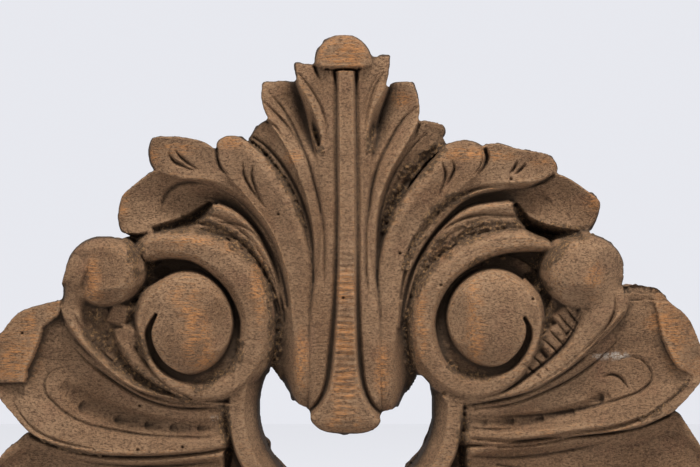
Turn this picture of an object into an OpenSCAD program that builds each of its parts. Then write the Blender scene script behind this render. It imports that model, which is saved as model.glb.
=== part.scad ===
// Carved wooden corbel bracket. A crest leaf with a hanging tongue stands
// between two volutes, with leaves in four tiers beside and below them.
// The back is flat at Y = 0 and the carving faces -Y. The origin is on the
// back, on the axis, level with the centres of the volutes. Millimetres.

/* [Overall] */
// Width across the widest leaf tips
width = 450; // [420:1:560]
// Height of the crest above the volute centres
crest_top = 171; // [150:1:210]
// Depth of the sawn foot below the volute centres
foot_drop = 169; // [160:1:210]
// Thickness of the ground behind the leaves
ground_t = 28; // [20:1:34]
// Width of the sawn foot
foot_w = 132; // [100:1:180]

/* [Volutes] */
// Distance from the axis to the centre of the left volute
volute_left = 97; // [88:0.5:118]
// Distance from the axis to the centre of the right volute
volute_right = 92.5; // [88:0.5:118]
// Radius of the outer edge of the scroll band
volute_r = 54.5; // [45:0.5:66]
// Width of the scroll band where it is widest
band_w = 18.5; // [14:0.5:24]
// Height of the scroll band above the back
band_h = 50; // [42:1:58]
// Radius of the domed eye of the volute
eye_r = 29; // [22:0.5:33]
// Height of the domed eye above the back
eye_h = 60; // [50:1:70]
// Radius of the rolled leaf tip beside the volute
knob_r = 22; // [18:0.5:26]
// Height of the rolled leaf tip above the back
knob_h = 68; // [56:1:80]

/* [Opening] */
// Radius of the round opening under the tongue
opening_r = 53; // [42:0.5:60]
// Depth of the opening's centre below the volute centres
opening_drop = 55; // [48:0.5:64]
// Width of the strap around the opening
strap_w = 19; // [14:0.5:26]
// Height of the strap above the back
strap_h = 45; // [36:1:56]

/* [Central leaf] */
// Width of the raised midrib
midrib_w = 12.5; // [8:0.5:18]
// Height of the midrib above the back at its lower end
midrib_h = 64; // [54:1:76]
// Width of the tongue at the lower end of the midrib
tongue_w = 40; // [30:1:48]
// Depth of the tongue's end below the volute centres
tongue_drop = 68.5; // [60:0.5:80]
// Height of the leaf blade above the back
leaf_h = 54; // [44:1:62]
// Width of the rounded knob on top of the crest
crest_knob_w = 33.5; // [26:0.5:40]

/* [Outer leaves] */
// Reach of the second tier from the axis on the left
tier2_left = 137; // [125:1:165]
// Reach of the second tier from the axis on the right
tier2_right = 155; // [130:1:175]
// Height of the second tier above the volute centres
tier2_top = 110; // [98:1:126]
// Height of the rim of the second tier above the back
tier2_h = 52; // [44:1:62]
// Height of the rim of the third tier above the back
tier3_h = 54; // [44:1:64]
// Height of the rims of the fourth and fifth tiers above the back
tier4_h = 48; // [40:1:58]

/* [Hidden] */

wood = "#84705c";
// Depth to which a leaf is hollowed below its rim
hollow = 9;
// How far a leaf's outer edge lies below its rim
edge_drop = 5;
// How far the outline of the ground lies inside the leaves
inset = 1.5;
// Leaves and scrolls start this far inside the ground
embed = 5;
root_h = ground_t - embed;

// ---- curves -------------------------------------------------------------

function lerp(a, b, t) = a + (b - a) * t;

// Point and direction on a cubic curve with four control points
function curve(p, t) =
    pow(1 - t, 3) * p[0] + 3 * pow(1 - t, 2) * t * p[1]
    + 3 * (1 - t) * t * t * p[2] + t * t * t * p[3];
function heading(p, t) =
    let (d = pow(1 - t, 2) * (p[1] - p[0]) + 2 * (1 - t) * t * (p[2] - p[1])
        + t * t * (p[3] - p[2]))
    d / norm(d);

// ---- skin of a strip ----------------------------------------------------

// Rings of points, all rings alike, joined by walls and closed at both ends
module loft(rings) {
    n = len(rings);
    m = len(rings[0]);
    points = [for (ring = rings) each ring];
    walls = [
        for (i = [0 : n - 2], j = [0 : m - 1])
            let (a = i * m, b = a + m, k = (j + 1) % m)
            each [[a + j, b + k, b + j], [a + j, a + k, b + k]]
    ];
    ends = [[for (j = [m - 1 : -1 : 0]) j], [for (j = [0 : m - 1]) (n - 1) * m + j]];
    polyhedron(points, concat(walls, ends));
}

// ---- leaves -------------------------------------------------------------
// A leaf is [curve, half widths at root and tip, rim heights at root and tip,
// hollow below the rim (negative where crowned), slope from left to right].

leaf_steps = 9;
// Where along the leaf its tip starts to close, and how blunt it ends
shoulder = 0.74;
blunt = 0.42;

// Sections lie closer together towards the tip
function along(i) = 1 - pow(1 - i / leaf_steps, 1.35);
function tip_share(t) =
    t < shoulder ? 1
    : let (s = (t - shoulder) / (1 - shoulder)) max(blunt, sqrt(1 - s * s));
function half_width(l, t) = lerp(l[1][0], l[1][1], t) * tip_share(t);
function sideways(l, t) = let (d = heading(l[0], t)) [-d.y, d.x];
function place(l, t, f) = curve(l[0], t) + sideways(l, t) * half_width(l, t) * f;

function leaf_ring(l, t) =
    let (
        h = lerp(l[2][0], l[2][1], t),
        d = l[3] * lerp(0.4, 1, t),
        top = [[-1, h - edge_drop], [-0.8, h], [0, h - d], [0.8, h], [1, h - edge_drop]]
    )
    concat(
        [for (q = top) let (p = place(l, t, q[0])) [p.x, -(q[1] + l[4] * q[0]), p.y]],
        [for (f = [1, -1]) let (p = place(l, t, f)) [p.x, -root_h, p.y]]
    );

module leaf(l) {
    loft([for (i = [0 : leaf_steps]) leaf_ring(l, along(i))]);
}

module leaf_outline(l) {
    polygon(concat(
        [for (i = [0 : leaf_steps]) place(l, along(i), 1)],
        [for (i = [leaf_steps : -1 : 0]) place(l, along(i), -1)]
    ));
}

// Half of the crest: three side lobes, the lowest first
crest_lobes = [
    [[[22, 30], [22, crest_top * 0.42], [38, crest_top - 74], [58, crest_top - 55]],
        [8, 12], [leaf_h - 9, leaf_h - 8], 5, 1],
    [[[17, 46], [18, crest_top * 0.56], [31, crest_top - 54], [45, crest_top - 28]],
        [8, 13], [leaf_h - 5, leaf_h - 5], 5, 1],
    [[[11, 80], [11, crest_top * 0.7], [17, crest_top - 32], [26, crest_top - 13]],
        [7, 10], [leaf_h - 2, leaf_h - 3], 4, 1]
];

// Second tier: edge lobe, middle lobe, large hollowed lobe, and a low rib
// over the volute. Where the tier reaches further its middle lobe hangs lower.
function second_tier(reach) =
    let (top = tier2_top, longer = reach - 137)
    [
        [[[28, 0], [24, top * 0.46], [40, top * 0.82], [73, top - 3]],
            [8, 13], [tier2_h - 4, tier2_h + 2], 1, 4],
        [[[36, 4], [40, top * 0.6], [68, top * 0.88],
                [120 + longer * 0.4, top - 9 - longer / 2]],
            [9, 14], [tier2_h - 8, tier2_h], 3, 1],
        [[[41, 0], [42, top * 0.52], [80, top * 0.8], [reach, top * 0.59]],
            [10, 22], [tier2_h - 12, tier2_h], hollow + 3, 0],
        [[[40, -4], [42, top * 0.34], [60, top * 0.54], [94, top * 0.54]],
            [7, 10], [tier2_h - 14, tier2_h - 12], -1, 0]
    ];

// Third tier: a large bowl in two overlapping sweeps
function third_tier(volute_x, reach) = [
    [[[volute_x - 42, -72], [volute_x + 20, -66], [reach - 62, -54], [reach, -29]],
        [11, 37], [tier3_h - 16, tier3_h - 2], hollow + 5, -1],
    [[[volute_x + 6, -60], [volute_x + 46, -42], [reach - 50, -8], [reach - 14, -2]],
        [9, 20], [tier3_h - 16, tier3_h - 4], 6, 5]
];

// The last two tiers
function lower_tiers(reach) = [
    [[[70, -99], [115, -93], [reach - 56, -92], [reach, -101]],
        [16, 33], [tier4_h - 10, tier4_h + 2], hollow, 2],
    [[[60, -opening_drop - 56], [95, -foot_drop + 44], [reach - 78, -foot_drop + 34],
            [reach - 40, -foot_drop + 27]],
        [18, 24], [tier4_h - 10, tier4_h - 4], hollow - 2, 2]
];

// Blade that falls from the rolled tip under the volute, and the ground
// between it and the eye
function tip_blades(volute_x) =
    let (out = volute_x + volute_r - 8)
    [
        [[[volute_x - 28, -volute_r * 0.9], [volute_x + 26, -volute_r * 0.86],
                [out + 12, -volute_r * 0.44], [out + 13, 24]],
            [8, 17], [tier3_h - 14, tier3_h + 6], 5, 4],
        [[[volute_x, -volute_r * 0.76], [volute_x + 22, -volute_r * 0.56],
                [out - 12, -volute_r * 0.3], [out - 4, 14]],
            [8, 22], [tier3_h - 12, tier3_h - 14], 5, 0]
    ];

function wing_leaves(volute_x, reach2, reach) = concat(
    second_tier(reach2),
    third_tier(volute_x, reach - 9),
    lower_tiers(reach),
    tip_blades(volute_x)
);

// ---- volutes ------------------------------------------------------------

// The scroll starts beside the eye on its outer side, passes under it, and
// grows up the inner side and over the top. Inner edge and width by angle.
sweep = 308;
start_angle = 12;
band_steps = 30;
function groove_r(a) = lerp(eye_r * 0.55, volute_r - band_w, 1 - exp(-a / 48));
function band_share(a) = lerp(0.52, 1, pow(min(1, a / 150), 1.5));

function band_ring(a) =
    let (
        bevel = 4,
        dir = [cos(start_angle - a), sin(start_angle - a)],
        r = groove_r(a),
        w = band_w * band_share(a),
        h = band_h + 3 * (1 - a / sweep)
    )
    [for (q = [[0, root_h], [0, h - 2], [w * 0.3, h], [w - bevel, h], [w, h - bevel], [w, root_h]])
        [dir.x * (r + q[0]), -q[1], dir.y * (r + q[0])]];

module scroll_band() {
    loft([for (i = [0 : band_steps]) band_ring(sweep * i / band_steps)]);
}

// Dome with a flattened crown
module eye() {
    translate([0, 0, -1])
        rotate([90, 0, 0])
            rotate_extrude($fn = 24)
                polygon([
                    [0, root_h], [eye_r, root_h], [eye_r, eye_h - 20], [eye_r * 0.92, eye_h - 10],
                    [eye_r * 0.68, eye_h - 3], [0, eye_h]
                ]);
}

// Rolled leaf tip: a ball on a round stem, with two smaller rolls under it
module rolled_tip(volute_x) {
    out = volute_x + volute_r - 8;
    hull() {
        translate([out, -knob_h + knob_r * 0.8, knob_r + 3])
            scale([1, 0.8, 1])
                sphere(r = knob_r, $fn = 20);
        translate([out, -root_h, knob_r + 3])
            rotate([90, 0, 0])
                cylinder(h = 4, r = knob_r, $fn = 20);
    }
    for (roll = [[-23, 2, 10], [-18, -14, 8]])
        hull()
            for (end = [[0, 0], [9, -10]])
                translate([out + roll[0] + end[0], -root_h, roll[1] + end[1]])
                    rotate([90, 0, 0])
                        cylinder(h = tier3_h - root_h - 4, r1 = roll[2], r2 = roll[2] * 0.6, $fn = 14);
}

// ---- central leaf -------------------------------------------------------

// Half outline of the blade, from the crest down to the foot of the leaf
blade_outline = [
    [12, crest_top - 20], [17, crest_top * 0.6], [21, 38], [27, 18], [32, 0],
    [35, -20], [44, -33], [40, -44], [33, -52], [26, -55], [19, -56]
];

function both_sides(half) = concat(
    half, [for (i = [len(half) - 1 : -1 : 0]) [-half[i].x, half[i].y]]);

module leaf_blade() {
    rotate([90, 0, 0])
        linear_extrude(leaf_h - 7)
            polygon(both_sides(blade_outline));
    for (s = [0, 1])
        mirror([s, 0, 0])
            leaf([[[11, crest_top - 22], [15, 60], [21, -4], [27, -56]],
                [5, 16], [leaf_h - 2, leaf_h + 2], -3, 0]);
}

// Flat raised midrib, flaring into the tongue
module midrib() {
    steps = 12;
    flare_start = 0.72;
    end_z = -tongue_drop + tongue_w * 0.28;
    loft([
        for (i = [0 : steps])
            let (
                t = i / steps,
                z = lerp(crest_top - 22, end_z, t),
                flare = max(0, (t - flare_start) / (1 - flare_start)),
                w = lerp(midrib_w, tongue_w, pow(flare, 1.7)) / 2,
                h = lerp(midrib_h - 8, midrib_h, min(1, t * 1.3)) - 4 * flare
            )
            [[-w - 2, -root_h, z], [-w - 2, -leaf_h + 4, z], [-w, -h, z],
                [w, -h, z], [w + 2, -leaf_h + 4, z], [w + 2, -root_h, z]]
    ]);
    tongue_end(0, midrib_h - 6);
}

module tongue_end(back, front) {
    hull()
        for (x = [-1, 1])
            translate([x * tongue_w * 0.24, -back, -tongue_drop + tongue_w * 0.28])
                rotate([90, 0, 0])
                    cylinder(h = front - back, r = tongue_w * 0.28, $fn = 24);
}

// Round knob on top of the crest, flat in front
module crest_knob() {
    r = crest_knob_w / 2;
    hull()
        for (step = [[0, r - 1], [leaf_h - 4, r], [leaf_h, r - 2]])
            translate([-1, -step[0], crest_top - r])
                rotate([90, 0, 0])
                    cylinder(h = 1, r = step[1], $fn = 24);
    hull()
        for (x = [-1, 1])
            translate([x * (r - 5) - 1, 0, crest_top - r - 3])
                rotate([90, 0, 0])
                    cylinder(h = leaf_h - 2, r = 5, $fn = 12);
}

module central_leaf() {
    leaf_blade();
    midrib();
    crest_knob();
    for (s = [0, 1])
        mirror([s, 0, 0])
            for (l = crest_lobes)
                leaf(l);
}

// ---- ground, strap, foot and opening ------------------------------------

// Half outline of the plate that fills the space between the leaves
function plate_outline(volute_x, reach2, reach) = [
    [0, crest_top - 12], [12, crest_top - 16], [22, crest_top - 40], [44, crest_top - 64],
    [62, tier2_top - 12], [reach2 - 32, tier2_top - 24], [reach2 - 16, tier2_top * 0.48],
    [volute_x + volute_r - 10, volute_r * 0.6], [reach - 50, -8], [reach - 30, -60],
    [reach - 34, -104], [reach - 64, -foot_drop + 34], [foot_w / 2 - inset, -foot_drop + inset],
    [0, -foot_drop + inset]
];

// Ground of one side: the outlines of everything that stands on it
module ground(volute_x, reach2, reach) {
    rotate([90, 0, 0])
        linear_extrude(ground_t)
            union() {
                offset(delta = -inset)
                    union() {
                        for (l = concat(wing_leaves(volute_x, reach2, reach), crest_lobes))
                            leaf_outline(l);
                        translate([volute_x, 0])
                            circle(r = volute_r, $fn = 36);
                        translate([volute_x + volute_r - 8, knob_r + 3])
                            circle(r = knob_r, $fn = 24);
                    }
                polygon(plate_outline(volute_x, reach2, reach));
            }
}

// Strap around the opening: flat face, and a hollow down to the opening
module strap() {
    a = opening_r + strap_w * 0.45;
    b = opening_r + strap_w;
    translate([0, 0, -opening_drop])
        rotate([90, 0, 0])
            rotate_extrude($fn = 60)
                polygon([
                    [opening_r - 4, 6], [opening_r - 4, ground_t], [opening_r + 3, ground_t + 6],
                    [a - 3, strap_h - 5], [a, strap_h], [b - 3, strap_h], [b, strap_h - 4], [b, 6]
                ]);
}

module foot() {
    face = strap_h - 6;
    hull()
        for (end = [[foot_w / 2, -foot_drop], [40, -opening_drop - opening_r - strap_w + 4]])
            translate([-end[0], -face, end[1]])
                cube([2 * end[0], face, 4]);
}

// The round opening, less the leaf and tongue that hang into it
module opening() {
    deep = knob_h + 24;
    difference() {
        translate([0, 1, -opening_drop])
            rotate([90, 0, 0])
                cylinder(h = deep, r = opening_r, $fn = 60);
        translate([0, 2, 0])
            rotate([90, 0, 0])
                linear_extrude(deep)
                    polygon(both_sides(blade_outline));
        translate([-volute_left, -deep, -volute_r * 0.6])
            cube([2 * volute_left, deep + 2, volute_r]);
        tongue_end(-2, deep);
    }
}

module wing(volute_x, reach2, reach) {
    for (l = wing_leaves(volute_x, reach2, reach))
        leaf(l);
    rolled_tip(volute_x);
    translate([volute_x, 0, 0]) {
        scroll_band();
        eye();
    }
    ground(volute_x, reach2, reach);
}

module bracket() {
    color(wood) {
        difference() {
            union() {
                wing(volute_right, tier2_right, width / 2 + 3);
                mirror([1, 0, 0])
                    wing(volute_left, tier2_left, width / 2 - 3);
                strap();
                foot();
            }
            opening();
        }
        central_leaf();
    }
}

bracket();
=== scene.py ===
from math import pi, radians

import bpy
import numpy as np
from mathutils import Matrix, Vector
from mathutils.geometry import tessellate_polygon


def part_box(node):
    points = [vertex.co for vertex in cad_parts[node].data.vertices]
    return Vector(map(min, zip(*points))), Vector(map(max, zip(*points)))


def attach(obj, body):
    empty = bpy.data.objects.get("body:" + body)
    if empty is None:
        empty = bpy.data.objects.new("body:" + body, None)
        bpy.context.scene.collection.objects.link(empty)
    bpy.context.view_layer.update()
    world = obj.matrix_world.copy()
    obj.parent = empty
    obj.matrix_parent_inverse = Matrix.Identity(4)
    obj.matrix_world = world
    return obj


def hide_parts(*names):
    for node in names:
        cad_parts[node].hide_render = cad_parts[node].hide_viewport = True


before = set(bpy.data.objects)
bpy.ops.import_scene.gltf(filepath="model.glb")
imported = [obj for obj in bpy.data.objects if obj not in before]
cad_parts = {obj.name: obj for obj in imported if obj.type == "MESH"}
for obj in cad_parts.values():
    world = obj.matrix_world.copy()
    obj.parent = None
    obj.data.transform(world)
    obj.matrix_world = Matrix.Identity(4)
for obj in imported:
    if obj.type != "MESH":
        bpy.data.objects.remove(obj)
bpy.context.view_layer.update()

# ---- sizes ------------------------------------------------------------------
# The layout is drawn in millimetres: x to the right of the middle rib, z up from
# about the middle of the volutes, and h forward from the flat back. These three
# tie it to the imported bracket.

FULL_WIDTH = 454.4
LEFT_REACH = 224.2
CREST_TOP = 171.0

# The carving is a grid of heights, STEP apart
STEP = 0.6
X_LOW, X_HIGH = -232.0, 238.0
Z_LOW, Z_HIGH = -172.0, 175.0
COLS = int(round((X_HIGH - X_LOW) / STEP)) + 1
ROWS = int(round((Z_HIGH - Z_LOW) / STEP)) + 1
GX = X_LOW + STEP * np.arange(COLS)
GZ = Z_LOW + STEP * np.arange(ROWS)
X, Z = np.meshgrid(GX, GZ)

GROUND = 27.0  # height of the plain ground between the leaves
OPENING = (0.6, -55.0, 53.0)  # middle x and z, radius
SKIRT = ((0.5, 0.9), (1.3, 4.0), (2.6, 13.0))  # how a leaf's side falls: out, down
ACROSS_LEAF, ALONG_LEAF = 0.9, 1.3  # spacing of the points that a leaf is drawn with
CUT_SCALE = 1.6  # how much deeper the knife lines go than their listed depths

relief = np.full((ROWS, COLS), -1.0)
cover = np.zeros((ROWS, COLS))


# ---- drawing tools ----------------------------------------------------------

def path_length(points):
    """Length of a line through the points, in millimetres."""
    p = np.array(points, float)
    return np.linalg.norm(np.diff(p[:, :2], axis=0), axis=1).sum()


def smooth_path(points, count):
    """Evenly spaced points on a smooth curve through the given ones."""
    p = np.array(points, float)
    ends = np.vstack([2 * p[0] - p[1], p, 2 * p[-1] - p[-2]])
    t = np.linspace(0, 1, 14, endpoint=False)[:, None]
    pieces = []
    for i in range(len(p) - 1):
        a, b, c, d = ends[i:i + 4]
        pieces.append(0.5 * (2 * b + (c - a) * t + (2 * a - 5 * b + 4 * c - d) * t ** 2
                             + (3 * b - a - 3 * c + d) * t ** 3))
    fine = np.vstack(pieces + [p[-1:]])
    run = np.r_[0, np.cumsum(np.linalg.norm(np.diff(fine[:, :2], axis=0), axis=1))]
    at = np.linspace(0, run[-1], count)
    return np.stack([np.interp(at, run, fine[:, k]) for k in range(p.shape[1])], axis=1)


def along(values, t):
    """Values at even stations, read smoothly at t from 0 to 1."""
    v = np.atleast_1d(np.array(values, float))
    if len(v) == 1:
        return np.full_like(t, v[0])
    ends = np.r_[2 * v[0] - v[1], v, 2 * v[-1] - v[-2]]
    place = np.clip(t, 0, 1) * (len(v) - 1)
    i = np.minimum(place.astype(int), len(v) - 2)
    f = place - i
    a, b, c, d = ends[i], ends[i + 1], ends[i + 2], ends[i + 3]
    return 0.5 * (2 * b + (c - a) * f + (2 * a - 5 * b + 4 * c - d) * f ** 2
                  + (3 * b - a - 3 * c + d) * f ** 3)


def draw(field, x, z, h):
    """Raise a field to the sheet h over the mesh of points (x, z)."""
    px = (x - X_LOW) / STEP
    pz = (z - Z_LOW) / STEP
    corners = [(px[:-1, :-1], pz[:-1, :-1], h[:-1, :-1]), (px[1:, :-1], pz[1:, :-1], h[1:, :-1]),
               (px[1:, 1:], pz[1:, 1:], h[1:, 1:]), (px[:-1, 1:], pz[:-1, 1:], h[:-1, 1:])]
    for order in ((0, 1, 2), (0, 2, 3)):
        a, b, c = [np.stack([q.ravel() for q in corners[k]]) for k in order]
        low = np.minimum(np.minimum(a, b), c)
        high = np.maximum(np.maximum(a, b), c)
        i0 = np.ceil(low[0]).astype(int)
        j0 = np.ceil(low[1]).astype(int)
        wide = int(np.max(np.floor(high[0]) - i0)) + 1
        tall = int(np.max(np.floor(high[1]) - j0)) + 1
        det = (b[1] - c[1]) * (a[0] - c[0]) + (c[0] - b[0]) * (a[1] - c[1])
        det = np.where(np.abs(det) < 1e-9, np.nan, det)
        for dj in range(max(tall, 0)):
            for di in range(max(wide, 0)):
                i = i0 + di
                j = j0 + dj
                u = ((b[1] - c[1]) * (i - c[0]) + (c[0] - b[0]) * (j - c[1])) / det
                v = ((c[1] - a[1]) * (i - c[0]) + (a[0] - c[0]) * (j - c[1])) / det
                w = 1 - u - v
                ok = (u >= -1e-6) & (v >= -1e-6) & (w >= -1e-6)
                ok &= (i >= 0) & (i < COLS) & (j >= 0) & (j < ROWS)
                if ok.any():
                    value = u * a[2] + v * b[2] + w * c[2]
                    np.maximum.at(field, (j[ok], i[ok]), value[ok])


def sheet(x, z, h, skirts=(1, 1, 1, 1)):
    """Draw a sheet whose sides fall away: skirts on its two sides, root and tip."""
    draw(cover, x, z, np.ones_like(h))
    for axis, low, high in ((1, skirts[0], skirts[1]), (0, skirts[2], skirts[3])):
        for end, on in ((0, low), (-1, high)):
            if not on:
                continue
            edge = np.take([x, z, h], [end], axis=axis + 1)
            inner = np.take([x, z, h], [1 if end == 0 else -2], axis=axis + 1)
            out = edge[:2] - inner[:2]
            out /= np.maximum(np.linalg.norm(out, axis=0), 1e-6)
            rows = [edge]
            for away, fall in SKIRT:
                rows.append(np.stack([edge[0] + out[0] * away, edge[1] + out[1] * away,
                                      edge[2] - fall * on]))
            draw(relief, *np.concatenate(rows, axis=axis + 1))
    draw(relief, x, z, h)


def flute(a, b, ha, hb, hollow=0.0, bulge=0.0, roll=0.0, roll_at=0.9, skirts=(1, 1, 0, 1),
          section=None, side=1, foot_roll=0.0, foot_at=0.1):
    """A swept leaf between its two edges a and b, both from root to tip.

    ha, hb and hollow are the heights of the two rims and the depth between
    them, at even stations. bulge pushes the middle of the tip out, roll lets
    the tip curl down from roll_at on, and foot_roll does so at the root.
    section adds a moulding across the leaf: pairs of (share across, rise)."""
    nt = max(int(max(path_length(a), path_length(b)) / ALONG_LEAF), 8)
    pa = smooth_path(a, nt)
    pb = smooth_path(b, nt)
    ns = max(int(np.linalg.norm(pb - pa, axis=1).max() / ACROSS_LEAF), 5)
    t = np.linspace(0, 1, nt)[:, None]
    s = np.linspace(0, 1, ns)[None, :]
    arch = 4 * s * (1 - s)
    x = pa[:, :1] * (1 - s) + pb[:, :1] * s
    z = pa[:, 1:] * (1 - s) + pb[:, 1:] * s
    if bulge:
        d = pa[-1] + pb[-1] - pa[-4] - pb[-4]
        d /= np.linalg.norm(d)
        push = bulge * arch ** 0.7 * np.clip((t - 0.55) / 0.45, 0, 1) ** 2
        x = x + d[0] * push
        z = z + d[1] * push
    h = along(ha, t) * (1 - s) + along(hb, t) * s - along(hollow, t) * arch
    if section:
        at, rise = zip(*section)
        h = h + np.interp(s, at, rise)
    over = np.clip((t - roll_at) / (1 - roll_at), 0, 1)
    under = np.clip(1 - t / foot_at, 0, 1)
    h = h - roll * (1 - np.sqrt(1 - 0.97 * over ** 2))
    h = h - foot_roll * (1 - np.sqrt(1 - 0.97 * under ** 2))
    sheet(side * x, z, h, skirts)


def dome(cx, cz, rx, rz, low, high, power=2.0, side=1, lean=(0, 0), skirt=1):
    """A rounded boss on an ellipse; a higher power gives it a flatter top."""
    r = np.linspace(0, 1, max(int(max(rx, rz) / ACROSS_LEAF), 6))[None, :]
    a = np.linspace(0, 2 * pi, max(int(6.3 * max(rx, rz) / 1.2), 24))[:, None]
    ex = rx * r * np.cos(a)
    ez = rz * r * np.sin(a)
    h = low + (high - low) * (1 - r ** power) ** 0.62 + lean[0] * ex + lean[1] * ez
    sheet(side * (cx + ex), cz + ez, h, (0, skirt, 0, 0))


def cut_field(points, width, depth, sharp=1.0, side=1):
    """Depth of a channel along a line; width and depth at even stations."""
    n = max(int(path_length(points) / 0.8), 6)
    p = smooth_path(points, n)
    d = np.gradient(p, axis=0)
    d /= np.maximum(np.linalg.norm(d, axis=1, keepdims=True), 1e-6)
    t = np.linspace(0, 1, n)[:, None]
    v = np.linspace(-1, 1, 11)[None, :]
    half = along(width, t) / 2
    x = p[:, :1] - d[:, 1:] * v * half
    z = p[:, 1:] + d[:, :1] * v * half
    cut = np.zeros_like(relief)
    draw(cut, side * x, z, along(depth, t) * (1 - np.abs(v) ** sharp))
    return cut


def groove(points, width, depth, sharp=1.0, side=1):
    """Cut a channel into the carving."""
    relief[:] = relief - cut_field(points, width, depth, sharp, side)


def inside(points, side=1):
    """Which grid points lie within a closed outline."""
    p = np.array(points, float) * (side, 1)
    within = np.zeros(relief.shape, bool)
    for a, b in zip(p, np.roll(p, -1, axis=0)):
        crosses = (a[1] > Z) != (b[1] > Z)
        with np.errstate(divide="ignore", invalid="ignore"):
            within ^= crosses & (X < (b[0] - a[0]) * (Z - a[1]) / (b[1] - a[1]) + a[0])
    return within


def from_middle(cx, cz, rx, rz):
    """Squared distance from an ellipse's middle: 1 on its edge."""
    return ((X - cx) / rx) ** 2 + ((Z - cz) / rz) ** 2


def raise_to(area, height):
    """Fill an area up to a height where it lies lower."""
    relief[area] = np.maximum(relief, height)[area]


def pare_to(area, height):
    """Cut an area down to a height where it stands higher."""
    relief[area] = np.minimum(relief, height)[area]


def blur(f, times=1):
    """Even out a field by about a grid step each time."""
    for _ in range(times):
        f = (np.roll(f, 1, 0) + 2 * f + np.roll(f, -1, 0)) / 4
        f = (np.roll(f, 1, 1) + 2 * f + np.roll(f, -1, 1)) / 4
    return f


def soften(f, radius):
    """Gaussian blur of about the given radius in millimetres."""
    reach = int(2.5 * radius / STEP) + 1
    k = np.exp(-0.5 * (np.arange(-reach, reach + 1) * STEP / radius) ** 2)
    k /= k.sum()
    for axis in (0, 1):
        total = np.zeros_like(f)
        for i, weight in enumerate(k):
            total += weight * np.roll(f, i - reach, axis)
        f = total
    return f


def mottle(size_x, size_z, seed):
    """Smooth random field with lumps of the given size in millimetres."""
    rng = np.random.default_rng(seed)
    fx = (GX - X_LOW) / size_x
    fz = (GZ - Z_LOW) / size_z
    lattice = rng.standard_normal((int(fz[-1]) + 2, int(fx[-1]) + 2))
    ix, iz = fx.astype(int), fz.astype(int)
    tx, tz = fx - ix, (fz - iz)[:, None]
    tx = tx * tx * (3 - 2 * tx)
    tz = tz * tz * (3 - 2 * tz)
    low = lattice[iz][:, ix] * (1 - tx) + lattice[iz][:, ix + 1] * tx
    high = lattice[iz + 1][:, ix] * (1 - tx) + lattice[iz + 1][:, ix + 1] * tx
    return low * (1 - tz) + high * tz


def near(cx, cz, rx, rz, soft=1.0):
    """1 at a place, falling to 0 outside an ellipse."""
    r = np.hypot((X - cx) / rx, (Z - cz) / rz)
    return np.clip((1 - r) / soft + 0.5, 0, 1)


# ---- layout -----------------------------------------------------------------
# Leaves, knife lines, stops and dirt are drawn on one side: a point is its distance
# out from the middle and its height z. The other lists give x and z as they are.
# Edge pairs run from the root of a leaf to its tip, upper or inner edge first.

# Outline of the plain ground behind the leaves
PLATE = [(-50, -168.6), (66, -168.6), (66, -150), (120, -140), (178, -110), (190, -58), (176, -10),
         (160, 22), (138, 50), (144, 54), (130, 70), (104, 90), (82, 98), (74, 96), (62, 98), (46, 110),
         (24, 130), (14, 142), (12, 160), (-14, 160), (-14, 142), (-26, 130), (-46, 112), (-60, 100),
         (-72, 97), (-96, 95), (-118, 72), (-128, 52), (-136, 48), (-158, 20), (-176, -8), (-188, -60),
         (-178, -110), (-120, -140), (-66, -150), (-66, -168.6)]

# The lowest leaf is the same on both sides
FIFTH_LEAF = (
    [(66, -104), (110, -113), (140, -119), (165, -124), (180, -130)],
    [(62, -128), (85, -146), (110, -155), (140, -160), (165, -160)])

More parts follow.
